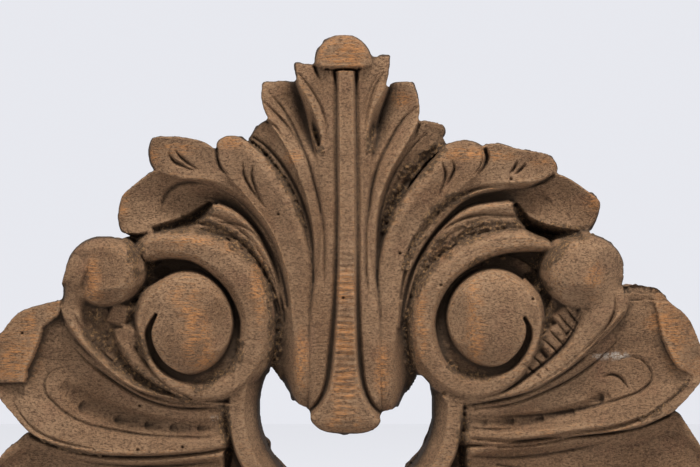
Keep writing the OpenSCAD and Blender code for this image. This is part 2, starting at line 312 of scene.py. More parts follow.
# Per side: edge pairs of the leaves, ribs and hollows; eye and knob as middle and
# half sizes; slot, nook and valley as lines; teeth as middle, half sizes and top
WINGS = {
    -1: dict(
        panel=(
            [(13.5, -57), (9, -36), (6, 0), (5, 60), (5.4, 110), (5.8, 138), (9, 152.6)],
            [(21, -55.5), (20, 0), (14.5, 45), (15, 80), (17.5, 104), (22, 126), (28, 143),
             (30.6, 154.8)]),
        edge_lobe=(
            [(20, -54.5), (19.5, 0), (20.4, 34), (23.2, 50), (28, 64), (35.6, 80), (44.6, 93), (53, 102),
             (61, 109)],
            [(32, -50), (31, -5), (34, 25), (43, 52), (57, 72), (70, 87), (77.5, 104)]),
        mid_lobe=(
            [(31, -5), (34, 25), (43, 52), (57, 72), (70, 87), (80, 104), (95, 109.5), (114.5, 110.5)],
            [(32, -5), (36, 22), (46, 50), (61, 70), (76, 80.5), (90, 84), (101, 86), (114, 89.5)]),
        bowl=(
            [(33, 5), (38, 28), (48, 52), (62, 71), (76, 80.5), (96, 84), (114, 89.5), (133, 77)],
            [(33.5, 0), (40, 25), (52, 46), (68, 60), (84, 62), (98, 56), (116, 53), (134, 52)]),
        rib=(
            [(34, 0), (41, 25), (50, 45), (60, 59), (69, 66), (78, 69.5)],
            [(36, -5), (44, 22), (55, 40), (68, 52), (80, 57.5), (90, 60)]),
        low_rib=(
            [(36, -5), (45, 20), (56, 38), (68, 50), (81, 56.5), (93, 57)],
            [(39, -8), (47.5, 16), (58, 33), (71, 45), (84, 51), (100, 53)]),
        recess=(
            [(30.5, -50.5), (31, -30), (31, 0), (33.5, 22), (40, 45)],
            [(44.6, -30.6), (44, -20), (43, 0), (45, 18), (52, 38)]),
        crest_two=(
            [(12, 10), (12.5, 60), (14.5, 90), (16.5, 103), (19, 120), (24.6, 134), (29, 143.5)],
            [(18, 8), (18, 46), (22, 70), (29, 90), (37, 107), (46, 121), (50, 131), (50, 143)]),
        crest_three=(
            [(16, 34), (19, 60), (27, 85), (35, 102), (46, 120.5)],
            [(20, 30), (22.4, 46), (27, 60), (35, 76), (43.6, 89), (51, 99), (58, 108)]),
        valley=[(19.6, 34), (24, 52), (30, 67), (38, 81), (48, 95), (60, 107), (57, 111), (44, 99),
                (33, 85), (25, 69), (20, 50)],
        band=(
            [(119.4, 34.8), (112.8, 37.2), (103.2, 37.8), (92.4, 36), (81.6, 29.4), (70.8, 18.6),
             (63.6, 4.2), (62.4, -6.6), (64.8, -21), (71, -32), (82, -38.4), (96, -37.2), (106, -31),
             (112.6, -24), (117, -15), (118.4, -6), (114, 4), (107, 11)],
            [(126.6, 46.2), (118.2, 52.8), (103.2, 54.6), (85.2, 52.2), (67.2, 45), (52.8, 31.2),
             (45, 15), (43.2, -3), (45, -21), (51, -32.4), (60, -42), (72, -48.5), (88, -50),
             (102, -44.5), (113, -36), (120.5, -24), (124.8, -10), (126.4, 3), (122, 15), (111, 23)]),
        eye=(95.5, -2.2, 26.8, 30.2),
        slot=[(112.8, 4), (116.5, -3), (118, -9), (116, -18), (109.5, -28), (98, -34.6), (84, -35.4)],
        knob=(144.8, 30, 22.4, 20.6),
        cheek=(
            [(160, 42), (166.2, 32), (169.4, 20), (169.6, 8), (166.6, -4)],
            [(150, 36), (156, 28), (159.6, 17), (160.2, 6), (158, -6)]),
        ridge=84,
        join=19,
        teeth=[(136.2, 3.2, 6.2, 6.8, 46.5), (130, -10.8, 6.8, 6.6, 46.8), (120.6, -24, 7, 5.6, 45.6)],
        tooth_turn=24,
        pocket=(111, 29),
        nook=[(130, 14), (148, 12), (150, 0), (142, -14), (130, -28), (114, -40), (100, -46), (104, -40),
              (118, -28), (125, -12), (127, 4)],
        nook_floor=41.5,
        tail=(
            [(139.8, -7.2), (131.4, -24), (117, -36), (102.6, -44.4), (90, -49.5)],
            [(135.6, -5), (127, -18), (118, -29.5), (108, -39), (96, -46)]),
        blade=(
            [(63, -52.8), (87, -49.8), (117, -44.4), (135.6, -35.4), (151.2, -21.6), (164.6, -4.8),
             (168.6, 12), (167, 24)],
            [(62, -46), (84, -44), (108, -40), (126, -30), (137, -17), (142, -2), (143, 12), (144, 24)]),
        third=(
            [(68, -52), (90, -50), (117, -45), (136, -34), (150, -20), (159, -4), (166, 11), (184, 9),
             (198, 3), (206.5, -8)],
            [(70, -76), (90, -80), (117, -82), (150, -80.5), (171, -76), (189, -67.5), (200, -57),
             (208, -47)]),
        bowl_depth=[1, 2, 4, 6.5, 8, 8.5, 7.5, 4, 1],
        fourth=(
            [(73, -80), (117, -83), (150, -81), (171, -76.5), (189, -68), (200, -75), (208, -82),
             (214, -96)],
            [(74, -104), (110, -112), (140, -118), (170, -124), (190, -129), (205, -127), (212, -119)]),
        fifth=FIFTH_LEAF,
    ),
    1: dict(
        panel=(
            [(14.5, -58), (9.5, -36), (7, 0), (6.8, 60), (7.2, 110), (7.6, 140), (11, 157.4)],
            [(21, -56.5), (20, 0), (14.5, 45), (14.5, 80), (16, 105), (18.5, 122), (23, 136), (26, 147),
             (27.3, 159.5)]),
        edge_lobe=(
            [(20, -56), (19.5, 0), (21.6, 37), (27, 55), (31.5, 66), (44.5, 85), (60, 104.5)],
            [(32.4, -54), (31.5, -31), (30.5, -5), (34, 25), (42, 47), (55, 65), (70, 80), (80, 92),
             (83, 103)]),
        mid_lobe=(
            [(31, -5), (34, 25), (42, 47), (55, 65), (70, 80), (82, 92), (83, 104), (92, 106), (104, 103),
             (119, 101)],
            [(32, -5), (36, 22), (46, 44), (60, 62), (76, 75.5), (95, 80.5), (112, 82), (127, 88.5)]),
        bowl=(
            [(33, 5), (38, 28), (48, 49), (62, 65), (76, 75.5), (100, 81), (127, 88), (153, 73)],
            [(33.5, 0), (40, 25), (52, 44), (72, 64), (92, 70), (110, 59), (126, 54), (144, 51.6)]),
        rib=(
            [(34, 0), (41, 25), (50, 43), (62, 57), (76, 67), (100, 71)],
            [(36, -5), (44, 22), (55, 38), (70, 50), (88, 55), (110, 56)]),
        low_rib=(
            [(36, -5), (45, 20), (56, 37), (68, 48), (84, 54), (108, 56)],
            [(38, -8), (46, 14), (56, 30), (70, 44), (86, 51), (108, 54)]),
        recess=(
            [(32, -54), (31, -30), (30, 0), (33, 22), (40, 42)],
            [(45, -33.6), (43, -20), (38.5, 0), (44, 20), (52, 36)]),
        crest_two=(
            [(11.5, 8), (12, 60), (14, 90), (15.4, 105), (18, 120), (22.6, 133), (27.6, 143)],
            [(18, 6), (17.6, 46), (20, 70), (26.6, 88), (35, 103), (43.5, 119), (44.5, 131), (41, 143)]),
        crest_three=(
            [(15, 34), (17, 60), (25, 86), (34, 102), (44, 119), (57, 119)],
            [(19.4, 30), (20.4, 52), (23.4, 66), (30, 82), (40, 95), (50, 104), (59, 110)]),
        valley=[(20, 36), (25, 52), (31, 67), (40, 83), (50, 96), (62, 106), (59.5, 111), (50, 106),
                (40, 97), (30, 84), (22, 66), (19, 50)],
        band=(
            [(124.2, 41.4), (111.6, 42), (96.6, 40.8), (81.6, 35.4), (66.6, 25.2), (57.6, 12), (54, -2.4),
             (57, -17.4), (63, -28.2), (74, -34.2), (88, -34.2), (99, -28.5), (106, -20), (110, -10),
             (110, 0), (104, 9)],
            [(122.4, 48.6), (107.4, 54), (96.6, 54), (78, 49.8), (58.8, 38.4), (46.2, 24), (39.6, 9.6),
             (38.4, -7.8), (41.4, -25.2), (48, -35.4), (58.8, -44.4), (73.8, -49.8), (88.8, -47.4),
             (101, -41), (110, -31), (117, -17), (120, -2), (117.6, 13), (108, 24)]),
        eye=(89.6, 0.8, 27, 28.6),
        slot=[(107, 2), (110, -4), (110, -11), (106, -20), (98, -28), (87, -31.4), (76, -30.6)],
        knob=(144.2, 29.6, 23.6, 22.2),
        ridge=78,
        join=12,
        teeth=[(134.6, 1.2, 7.6, 7, 47.6), (125.6, -12.4, 8.6, 7.2, 47), (114.4, -27.4, 8, 5.8, 46)],
        tooth_turn=38,
        pocket=(114, 25),
        nook=[(126, 16), (146, 12), (142, 0), (134, -14), (122, -26), (108, -38), (96, -44), (100, -38),
              (112, -26), (119, -12), (121, 4)],
        nook_floor=42.5,
        blade=(
            [(60, -50), (74, -51.4), (90, -48), (109, -43.6), (126, -34.6), (141, -23.4), (154, -10.6),
             (167, 4.8), (168.4, 18)],
            [(58, -44), (76, -47), (94, -43.6), (109, -34.4), (124.6, -22.4), (135.4, -10.2), (141, 2),
             (144, 10), (148, 18)]),
        third=(
            [(64, -52), (88, -47), (111, -41), (132, -27), (147, -11), (158, 4), (164, 19), (186, 19.5),
             (196, 10), (207, 1), (210, -9)],
            [(66, -74), (90, -75), (111, -72), (157, -67), (179, -63), (197.5, -54.5), (206.5, -46.5),
             (212.5, -38)]),
        bowl_depth=[1, 2, 3.4, 5, 6, 6, 4.6, 2, 0],
        fourth=(
            [(73, -78), (111, -72.5), (157, -67.5), (179, -64), (198, -55), (206.5, -63), (213, -73),
             (221, -88)],
            [(74, -104), (112, -112), (145, -118), (175, -124), (196, -128), (211, -125), (219, -114)]),
        fifth=FIFTH_LEAF,
    ),
}

# Knife lines: points, widths and depths at even stations, and sharpness (1 a V,
# above 1 a hollow). Widths, depths and sharpness that come back have a name.
THUMB_NICK = ([1.2, 3, 2.6, 1], [0.8, 2.4, 2, 0.4])
LOBE_NICK = ([1.2, 3, 2.8, 1], [0.8, 2.6, 2, 0.4])
TOOTH_LINE = ([1.2, 2, 1], [1, 1.8, 0.6])
CREST_SLIT = ([3, 5, 5.4, 5.6, 4.6, 0.6], [0, 1.4, 3, 6, 8, 1], 1.6)
BLADE_LINE = ([1, 2.6, 3, 2.6, 2], [0.4, 1.8, 2.2, 2, 1.2])
STRAP_LINE = ([2, 4.4, 4.6, 4, 2], [1, 3.6, 3.8, 3, 1], 1.2)
LOW_HOLLOW = ([2, 4, 4, 3], [0.8, 2, 2, 1], 1.4)
LOW_VEIN = ([1.4, 2.6, 2.6, 2.2, 1], [0.6, 1.5, 1.5, 1.2, 0.3])

CUTS = {
    -1: [
        ([(28, 148), (21, 139.4), (15, 129), (11.8, 119), (10.6, 105)], [1.6, 2.4, 2.4, 1.4],
         [0.8, 1.4, 1.4, 0.4]),
        ([(18.6, 153), (17, 149), (14.8, 144)], [3, 3, 1], [3, 2.4, 0.4]),
        ([(46, 137), (38.4, 128.4), (32, 118), (27, 107), (22, 94.6), (18, 80), (15, 68), (12.8, 54),
         (12.2, 38), (12.8, 18)], [1.4, 2.6, 3, 3.2, 3, 2.8, 2.6, 2.4, 1.2],
         [0.8, 1.6, 1.9, 2.1, 2, 1.8, 1.7, 1.5, 0.3]),
        ([(49.4, 131.6), (42.4, 125), (36.4, 118.6), (31.4, 112), (26.4, 104)], [1.4, 2.6, 2.6, 1.4],
         [0.8, 1.7, 1.5, 0.3]),
        ([(47, 119.6), (42, 116.4), (38, 110), (36, 105)], [2, 2.6, 2.4, 1], [2, 2, 1.2, 0.2]),
        ([(56, 110.6), (48, 105), (40, 96.4), (32.4, 85), (26.6, 73), (22.4, 60), (20, 48), (19, 37)],
         [1.8, 2.6, 2.8, 2.8, 2.6, 1.4], [1.2, 1.9, 2, 2, 1.8, 0.5]),
        ([(57, 107), (51, 102.6), (43.6, 93.4), (35, 80.6), (28.6, 67), (24.4, 55), (21.8, 44), (20, 34)],
         [2.4, 3.2, 3.4, 3.4, 3, 1.4], [2, 3, 3.2, 3.4, 3.2, 1]),
        ([(30, 141), (24.4, 131.6), (20.4, 121), (17.2, 111), (16, 105), (16, 100.6)], *CREST_SLIT),
        ([(106.5, 101), (103, 95.5), (97.5, 92.6), (90, 89.2)], [1.2, 3.2, 2.8, 1], [0.8, 2.6, 2, 0.4]),
        ([(102.2, 102), (98.2, 97.4), (92.6, 93), (87.6, 90)], [1.2, 3, 2.6, 1], [0.8, 2.4, 1.8, 0.4]),
        ([(61.2, 94.4), (60.6, 87), (55.6, 77.4), (48.6, 67.8)], *THUMB_NICK),
        ([(55.2, 92.6), (55.9, 86), (52.8, 76.4), (48.6, 68.2)], *THUMB_NICK),
        ([(78, 103.5), (76.6, 96), (74.2, 90.8), (70, 87)], [3, 3.4, 3, 1.5], [4, 3.4, 2.2, 0.4]),
        ([(111, 70), (108, 76.2), (103.2, 80.4), (96, 82.8), (84, 82.6), (74.4, 79.6), (66, 74.6),
         (57.6, 66.2), (48, 54), (42, 42.2), (37.4, 26), (34.6, 8)], [3, 4, 4, 3.6, 3.4, 3, 3, 3],
         [1.2, 2.4, 2.6, 2.6, 2.6, 2.4, 2.2, 2], 1.2),
        ([(81, 70), (87, 64.4), (95, 59.8), (104, 56.6), (116, 53.6)], [5, 9, 8, 7, 6], [5, 9, 8, 7, 4],
         1.4),
        ([(76.8, 58.6), (66, 58), (57.6, 54.2), (49.4, 45), (43.6, 33), (39, 16), (36.6, -2)],
         [1.6, 2.6, 2.6, 2.6, 2.6, 2], [0.8, 1.8, 2, 2, 2, 1]),
        ([(90, 74), (80, 73), (70, 69), (60, 61.6), (52, 52), (45, 38)], [1.2, 2.4, 2.6, 2.4, 1.6],
         [0.4, 1.2, 1.4, 1.4, 0.6]),
        ([(75, 51.6), (64, 48), (54, 38), (47, 24), (42, 6)], [1.6, 2.4, 2.4, 2], [0.6, 1.6, 1.6, 1]),
        ([(168.8, 1), (160, -13.2), (147.6, -26), (133.2, -38), (121, -44.6), (105, -49.6), (90, -51.2)],
         [2, 3, 3, 3, 2.6], [1.6, 2.4, 2.4, 2.2, 1.6]),
        ([(162, 4), (156, -8), (146, -20), (134, -31), (121, -40)], [1.4, 2.6, 2.8, 2.4, 1.2],
         [0.6, 1.6, 1.8, 1.4, 0.4]),
        ([(165.8, -14), (153.4, -26.6), (135.4, -39.8), (117.4, -49.4), (99, -53.6), (76, -53)],
         *BLADE_LINE),
        ([(168.6, -28.8), (177, -31.2), (181.2, -37.2), (180.6, -44.4), (173.4, -52.8), (165, -58.8),
         (155.4, -63.4), (144.6, -66), (129, -69), (111, -70.8), (87, -71.4), (78, -71.4)],
         [1.2, 2.6, 3, 3, 2.6, 2.6, 1.4], [0.5, 1.2, 1.6, 1.6, 1.4, 1.2, 0.3]),
        ([(171.6, -40), (160, -48), (145, -56), (128, -61), (108, -64.6), (88, -66), (78, -66.4)],
         [9, 16, 15, 13, 12, 9, 3], [0.9, 2.6, 3, 2.6, 2.2, 1.4, 0.2], 2),
        ([(200.6, -46), (195, -56.4), (186, -66), (171, -73), (150, -78)], [1, 2.4, 2.4, 1.6],
         [0.5, 1.5, 1.5, 0.8]),
        ([(190, -68.4), (186.6, -71.2), (171, -77), (147, -81.8), (123, -83), (99, -81.8), (74, -80)],
         [4, 4.4, 4.4, 2.4], [2.6, 2.8, 2.6, 1], 1.2),
        ([(73, -50), (72, -64), (70.6, -76), (72, -92), (74, -106)], *STRAP_LINE),
        ([(92, -93), (120, -99), (150, -102), (180, -104)], *LOW_HOLLOW),
        ([(76, -86), (100, -88.6), (126, -89), (152, -87), (172, -82)], *LOW_VEIN),
    ],
    1: [
        ([(23.4, 149), (18, 139.6), (14.8, 129.6), (12.8, 119), (12.6, 112)], [1.6, 2.6, 2.6, 1.2],
         [0.8, 1.5, 1.5, 0.4]),
        ([(20, 148), (15.6, 139.6), (12.6, 130), (11, 120)], [1.2, 2, 2, 1], [0.5, 1, 1, 0.3]),
        ([(43.6, 128.4), (36.6, 122.4), (30.6, 114), (25.4, 104.6), (20.4, 94), (17, 83), (14.8, 71),
         (13.2, 58), (12.5, 44), (12.8, 28), (15, 9)], [1.4, 2.8, 3.2, 3.4, 3.4, 3.2, 3, 2.6, 1.2],
         [0.8, 1.8, 2.1, 2.4, 2.4, 2.2, 2.1, 1.8, 0.3]),
        ([(45, 118.4), (43, 112.6), (42, 106.6)], [2, 2.6, 1], [2, 1.8, 0.3]),
        ([(50, 113), (41, 104.6), (33, 93.6), (27, 82), (22.6, 68), (20, 54), (19.4, 40)],
         [1.2, 2.2, 2.4, 2.2, 1.4], [0.6, 1.3, 1.5, 1.4, 0.5]),
        ([(59, 106), (51, 99.6), (42, 89), (33.6, 76), (27, 62), (23.4, 50), (21, 37)],
         [4, 6, 6.4, 6, 4.6, 1.6], [1, 1.5, 1.9, 2.2, 2.4, 0.8], 1.4),
        ([(28.6, 141), (22.6, 132), (18.8, 121.6), (16.4, 112), (15.8, 107.6), (16, 103.4)], *CREST_SLIT),
        ([(58.2, 94.6), (60.2, 88.2), (59.4, 82), (56.2, 74.2)], *LOBE_NICK),
        ([(64.2, 95.8), (65.6, 90.6), (63, 84.4), (59, 78)], *LOBE_NICK),
        ([(84, 103.5), (85.4, 97), (82.6, 90.4), (78.4, 86.8)], [3, 4, 3.6, 1.5], [4, 4, 2.8, 0.4]),
        ([(103.8, 95.6), (101.6, 91), (98.6, 87.4)], [1.4, 3.2, 1.2], [1, 2.6, 0.5]),
        ([(108.8, 94), (105.6, 90.4), (101.6, 87)], [1.4, 3, 1.2], [1, 2.4, 0.5]),
        ([(126, 87.4), (118.8, 83), (108, 80.8), (96, 80.6), (84, 79.8), (74.4, 77.2), (63.6, 72.2),
         (56, 65), (48, 55.4), (41, 44.6), (36.4, 32), (33.6, 12)], [3, 3.6, 3.6, 4, 5, 5, 4.4, 3.4],
         [2, 2.4, 2.4, 3, 3.6, 3.6, 3, 2.4], 1.2),
        ([(102.4, 69.8), (106, 63.4), (111, 58), (120, 53.6), (132, 51.4), (142, 50.8)], [5, 8, 9, 8, 6],
         [5, 10, 11, 9, 4], 1.4),
        ([(106.4, 62), (97.2, 63), (82.8, 63.4), (70.8, 60.8), (60, 54.2), (50.6, 44), (44.6, 32), (40, 12),
         (37, -6)], [1.6, 2.8, 2.8, 2.8, 2.4], [1, 2, 2, 2, 1.4]),
        ([(104, 57.4), (90, 57.6), (76, 54.4), (64, 46.4), (54, 34)], [1.4, 2.2, 2.4, 1.6],
         [0.6, 1.4, 1.6, 0.8]),
        ([(117, 76.4), (122, 73.2), (125.6, 68.2)], [2, 3, 2], [0.3, 0.9, 0.3], 2),
        ([(167.4, 4.8), (153.6, -11), (139, -26), (124.4, -36), (107.6, -44.4), (90, -49), (74, -51.4)],
         [2, 3, 3, 3, 2.6], [1.6, 2.6, 2.6, 2.4, 1.8]),
        ([(162, 16.4), (160.4, 2.6), (153, -8.6), (143, -18.6)], [1.2, 3, 2.6, 1], [0.5, 2, 1.6, 0.3]),
        ([(168, -7.8), (154.2, -22.8), (138, -35), (120, -44), (100, -51), (78, -54)], *BLADE_LINE),
        ([(142.4, 5), (135.4, -10.6), (124.6, -22.8), (109, -34.8), (94, -44.4)], [1.6, 3, 3, 2.6, 1],
         [1, 3, 3, 2.4, 0.5]),
        ([(127, 5), (134, -3), (140, -9)], *TOOTH_LINE),
        ([(132, 8), (138.4, 0), (142.6, -5)], *TOOTH_LINE),
        ([(121.6, -5), (128.6, -12), (134, -18)], *TOOTH_LINE),
        ([(118.4, -11), (125.4, -17), (130, -23)], *TOOTH_LINE),
        ([(112, -20.6), (118.4, -27), (122.6, -32)], *TOOTH_LINE),
        ([(107, -26), (114, -31.6), (118.4, -36)], [1.2, 2, 1], [1, 1.6, 0.5]),
        ([(155.4, -34.8), (161, -33.2), (166, -35), (171, -41.6)], [1.2, 2.8, 2.8, 1], [0.6, 2, 2, 0.5]),
        ([(165, -25.4), (170, -22.4), (178.2, -24), (184.2, -31.2), (184, -37.6), (177, -43.4), (165, -48),
         (150, -52.6), (130, -56.6), (108, -58.6), (80, -59)], [1.2, 2.2, 2.8, 2.8, 2.6, 2.2, 1.4],
         [0.5, 1.2, 1.7, 1.6, 1.3, 1.2, 0.3]),
        ([(160, -46), (146, -54), (130, -58.6), (112, -61), (92, -62), (78, -62)], [8, 12, 11, 9, 3],
         [0.9, 2.4, 2.6, 2, 0.2], 2),
        ([(207, -36), (201, -43.2), (189, -52.8), (177, -59.6), (160.2, -65), (141, -68), (117, -72),
         (99, -73.4), (76, -72)], [2, 3.6, 4.4, 4, 2.4], [1, 2.2, 2.8, 2.6, 1], 1.2),
        ([(196, -57.6), (180, -63.6), (160, -68.4), (140, -71), (116, -75.6), (92, -77.4)],
         [3, 3, 2.4, 2.4], [3, 2.4, 1.8, 1.4]),
        ([(72.4, -50), (71.4, -64), (70.4, -76), (72, -92), (74, -106)], *STRAP_LINE),
        ([(92, -88), (120, -94), (150, -97), (180, -99)], *LOW_HOLLOW),
        ([(76, -83), (100, -84), (124, -81.6), (148, -77), (168, -71.6)], *LOW_VEIN),
        ([(160, -2), (150, -14), (139, -24), (126, -33)], [1.2, 2.2, 2.2, 1], [0.4, 1.1, 1.1, 0.3]),
        ([(76, -65.6), (96, -66.4), (118, -65.6), (140, -61.4), (160, -56)], [1.4, 2.2, 2.2, 2, 1],
         [0.6, 1.1, 1.1, 0.9, 0.3]),
    ],
}

# Cross steps where the gouge was stopped in the bowls of the third leaves: place
# out from the middle, top and foot of the step
STOPS = {
    -1: [(161.4, -49, -58), (139.8, -58, -65), (121.8, -61, -68), (106.2, -63, -69), (89.4, -63, -69)],
    1: [(156.6, -43, -52.6), (139.2, -53, -60), (120.6, -57, -63.6), (102.6, -58.6, -64.6),
         (85.8, -60, -65)],
}

# Where loose dirt has packed into the carving: points, widths
DIRT = {
    -1: [
        ([(57, 108), (51, 103.2), (44, 94.6), (36, 82), (29, 68), (25, 56)], [3, 3, 2.6, 2]),
        ([(80, 68), (88, 62), (98, 57.6), (112, 54)], [3, 6, 6, 4]),
        ([(100, 56), (85, 54), (70, 48), (56, 37), (47, 22), (42, 4), (42, -16), (44, -28)],
         [3, 4, 5, 4, 4, 3]),
        ([(134, 54), (127, 47), (124, 38), (121, 28), (122, 18)], [4, 6, 8, 6, 4]),
        ([(46, 20), (42.6, 6), (42, -10), (43.4, -24), (46, -34)], [3, 5, 6, 5, 2]),
        ([(101, 63), (90, 62), (77, 56), (64, 50), (53, 39), (45, 24)], [2, 3, 3, 3, 2]),
        ([(120, 20), (126, 10), (128, 0), (124, -12), (118, -24)], [3, 4, 5, 4, 2]),
        ([(154, 6), (148, -8), (138, -22), (124, -34), (106, -44), (92, -49)], [8, 10, 9, 7, 5, 3]),
        ([(73, -51), (72.6, -62), (71, -74), (73, -90)], [4, 5, 5, 4]),
        ([(17, 114), (16, 106), (15, 100)], [3, 4, 3]),
        ([(190, -69), (171, -77), (147, -82)], [2, 2, 1.5]),
        ([(76, -36), (90, -40), (66, -26), (63, -12)], [4, 4, 4, 3]),
    ],
    1: [
        ([(60, 105), (52, 100), (43, 91), (35, 80), (29, 68), (24, 52)], [5, 8, 8, 6, 3]),
        ([(74, 77), (63, 72), (55, 64.6), (47, 54), (40.4, 44), (36, 30)], [4, 5, 5, 4, 3]),
        ([(103, 68), (107, 61), (114, 56), (126, 53), (142, 51)], [4, 7, 8, 7, 5]),
        ([(104, 56.6), (86, 55.6), (70, 50), (58, 42), (48, 30), (42, 14)], [3, 6, 9, 9, 6, 3]),
        ([(133, 48), (128, 42), (120, 36), (114, 26), (120, 18)], [3, 5, 6, 6, 4]),
        ([(122, 20), (124, 8), (120, -6), (116, -20)], [3, 4, 4, 2]),
        ([(41, 12), (37.6, 0), (37.6, -12), (39.4, -26), (42, -34)], [2, 4, 4, 4, 2]),
        ([(134, 55), (144, 52), (150, 51.4)], [3, 5, 2]),
        ([(72.4, -51), (72, -62), (71, -74), (73, -90)], [4, 5, 5, 4]),
        ([(16.6, 116), (16, 108), (15.6, 101)], [3, 4, 3]),
        ([(206, -37), (190, -52), (177, -60)], [1.5, 2.4, 2]),
        ([(62, -26), (72, -33), (88, -34)], [3, 4, 3]),
        ([(74, 32), (84, 36), (98, 38)], [3, 4, 3]),
    ],
}

# Spots rubbed down to warmer wood: middle, half width, half height
RUBBED = [(-92, 4, 5.5, 12), (-88, -13, 6, 12), (-97, 14, 6, 5), (-84, -22, 5, 6), (-150, 26, 3, 9),
          (-150, 15, 4, 3), (77, 9, 3.2, 12), (78, -9, 3.4, 14), (148.5, 24, 4, 8), (0, -42, 6, 14),
          (0, -60, 8, 5), (-2, 160, 12, 8), (32, 133, 6, 3.6), (-118, 98, 6, 3), (-102, 103, 10, 2.5),
          (-70, 107, 6, 3), (72, 100, 12, 3), (88, 99, 10, 3), (122, 94, 8, 2), (150, 72, 4, 6),
          (-198, -25, 10, 9), (-188, -10, 4, 14), (198, -16, 3.4, 13), (190, -1, 8, 5), (-52, 20, 3.4, 18),
          (-66, 44, 8, 2.5), (45.6, -6, 2.4, 20), (58, 41, 5, 3), (-134, 74, 2.4, 10), (0, 20, 5, 8),
          (0, -10, 5, 9), (-26, -24, 3, 14), (22, -30, 3, 12), (-31, 98, 4, 3), (-92, 47, 10, 2.4)]

# Pale scuffs: middle, half width, half height
SCUFFS = [(163, -21.6, 7, 1.8), (153.5, -22.4, 4, 1.2), (-78, -59, 1.4, 1)]

# Beetles' exit holes
WORM_HOLES = [(-40, 63.6), (99.8, 84.6), (57.6, 21), (112.6, 12.6), (-193.2, -7.6), (-124, -52),
              (-125, -78.6), (-98, -77), (-1, 13.6), (33, 40)]

# Flat split ends of the third leaves
TIP_FACETS = {
    -1: [(-170, 12), (-171, 3.6), (-181, -4.2), (-182.4, -10.8), (-187.8, -24), (-190.8, -30),
         (-191.4, -37.2), (-224, -38), (-224, 20), (-170, 20)],
    1: [(188, 22), (184.6, 14), (187.6, 2), (190.2, -10.8), (195, -21.6), (199.8, -28.8), (209.4, -33.6),
         (230, -34), (230, 22)],
}


# ---- the carving ------------------------------------------------------------

# Mouldings across a leaf: share of the way across, rise
RIB_MOULD = ((0, -1.4), (0.14, 0.3), (0.46, 0.2), (0.56, -1.3), (0.66, 0.2), (0.9, 0), (1, -1))
EDGE_BEVEL = ((0, -3.4), (0.24, 0), (1, 0))
BAND_MOULD = ((0, -3.6), (0.16, -0.3), (0.22, 0.2), (0.66, 0.4), (0.74, -0.2), (0.8, -1.6), (1, -6.2))
THIRD_MOULD = ((0, -1), (0.05, 0.6), (0.12, -0.8), (0.2, 0.7), (0.32, 0.6), (0.42, -1), (0.72, -1),
               (0.78, 0.8), (0.94, 0.6), (1, -0.6))
FOURTH_MOULD = ((0, -0.8), (0.05, 0.6), (0.12, 0.4), (0.2, -3), (0.5, -4), (0.9, -1), (1, 0))
RIM_BLADE = ((0, -1.4), (0.10, 0.6), (0.2, 0.2), (0.34, -4.5), (0.7, -7), (1, -7))
BROAD_BLADE = ((0, -1.2), (0.1, 0.6), (0.2, -1.0), (0.34, 0.4), (0.85, 0.6), (1, -2))
MIDRIB_MOULD = ((0, -0.4), (0.08, 0.6), (0.16, -0.1), (0.84, -0.1), (0.92, 0.6), (1, -0.4))

# Heights along a piece and floors of the sunk places
BAND_HEIGHTS = [46, 49, 50, 50, 50, 50, 49, 49, 50, 51, 52, 53]
MIDRIB_HEIGHTS = [55.4, 56.4, 58, 60, 61.5, 62, 60]
VALLEY_FLOOR = 38.5
TONGUE_WEB = 46
EYE_CHANNEL = 11  # width of the sunk channel round an eye
STRAP_FROM, STRAP_TO = 152, 388  # degrees round the opening
STRAP_BAND = 8.5  # width of each of the strap's two bands


def worn_block(at_x, at_z, half_wide, half_tall, top, turn):
    """A low block with worn edges, turned in the plane of the face."""
    c, s = np.cos(radians(turn)), np.sin(radians(turn))
    across = (X - at_x) * c + (Z - at_z) * s
    along_it = (Z - at_z) * c - (X - at_x) * s
    out = np.maximum(np.abs(across) - half_wide, np.abs(along_it) - half_tall)
    raise_to(out < 3, top - 1.3 * np.clip(out + 1.8, 0, 9) ** 1.5 + 0.14 * along_it)


def sink(points, width, floors, side):
    """Clear a steep-sided channel down to the given floor heights."""
    share = np.clip(cut_field(points, width, [1], 5, side) * 1.3, 0, 1)
    floor = cut_field(points, 1.6 * np.array(width), floors, 60, side)
    relief[:] = np.where(floor > 1, relief - share * (relief - floor).clip(0, 60), relief)


def ease(at_x, at_z, half_wide, half_tall, radius):
    """Rub a crease soft over one patch."""
    share = near(at_x, at_z, half_wide, half_tall, 0.5)
    relief[:] = relief + share * (soften(relief, radius) - relief)


def carve_ground():
    """Plain ground behind the leaves, open in the round hole."""
    plate = inside(PLATE)
    relief[plate] = GROUND
    cover[plate] = 1
    cx, cz, r = OPENING
    hole = np.hypot(X - cx, Z - cz) < r
    relief[hole] = -1
    cover[hole] = 0


def opening_arc(radius):
    """Points round the opening, from its left shoulder under it to its right one."""
    cx, cz, _ = OPENING
    angles = np.radians(np.linspace(STRAP_FROM, STRAP_TO, 24))
    return [(cx + radius * np.cos(a), cz + radius * np.sin(a)) for a in angles]


def carve_strap_and_foot():
    """The plain foot, and the strap of two bands that runs under the opening."""
    inner = OPENING[2]
    middle = inner + STRAP_BAND
    for side in (-1, 1):
        flute([(0, -122), (0, -168.6)], [(52, -118), (66, -168.6)], [42, 38, 39], [36, 33, 34], -1,
              side=side, skirts=(0, 1, 0, 0))
    flute(opening_arc(inner), opening_arc(middle), [31], [45], -1.5, skirts=(0, 0, 0, 0))
    flute(opening_arc(middle), opening_arc(middle + STRAP_BAND), [46.5], [45.5])


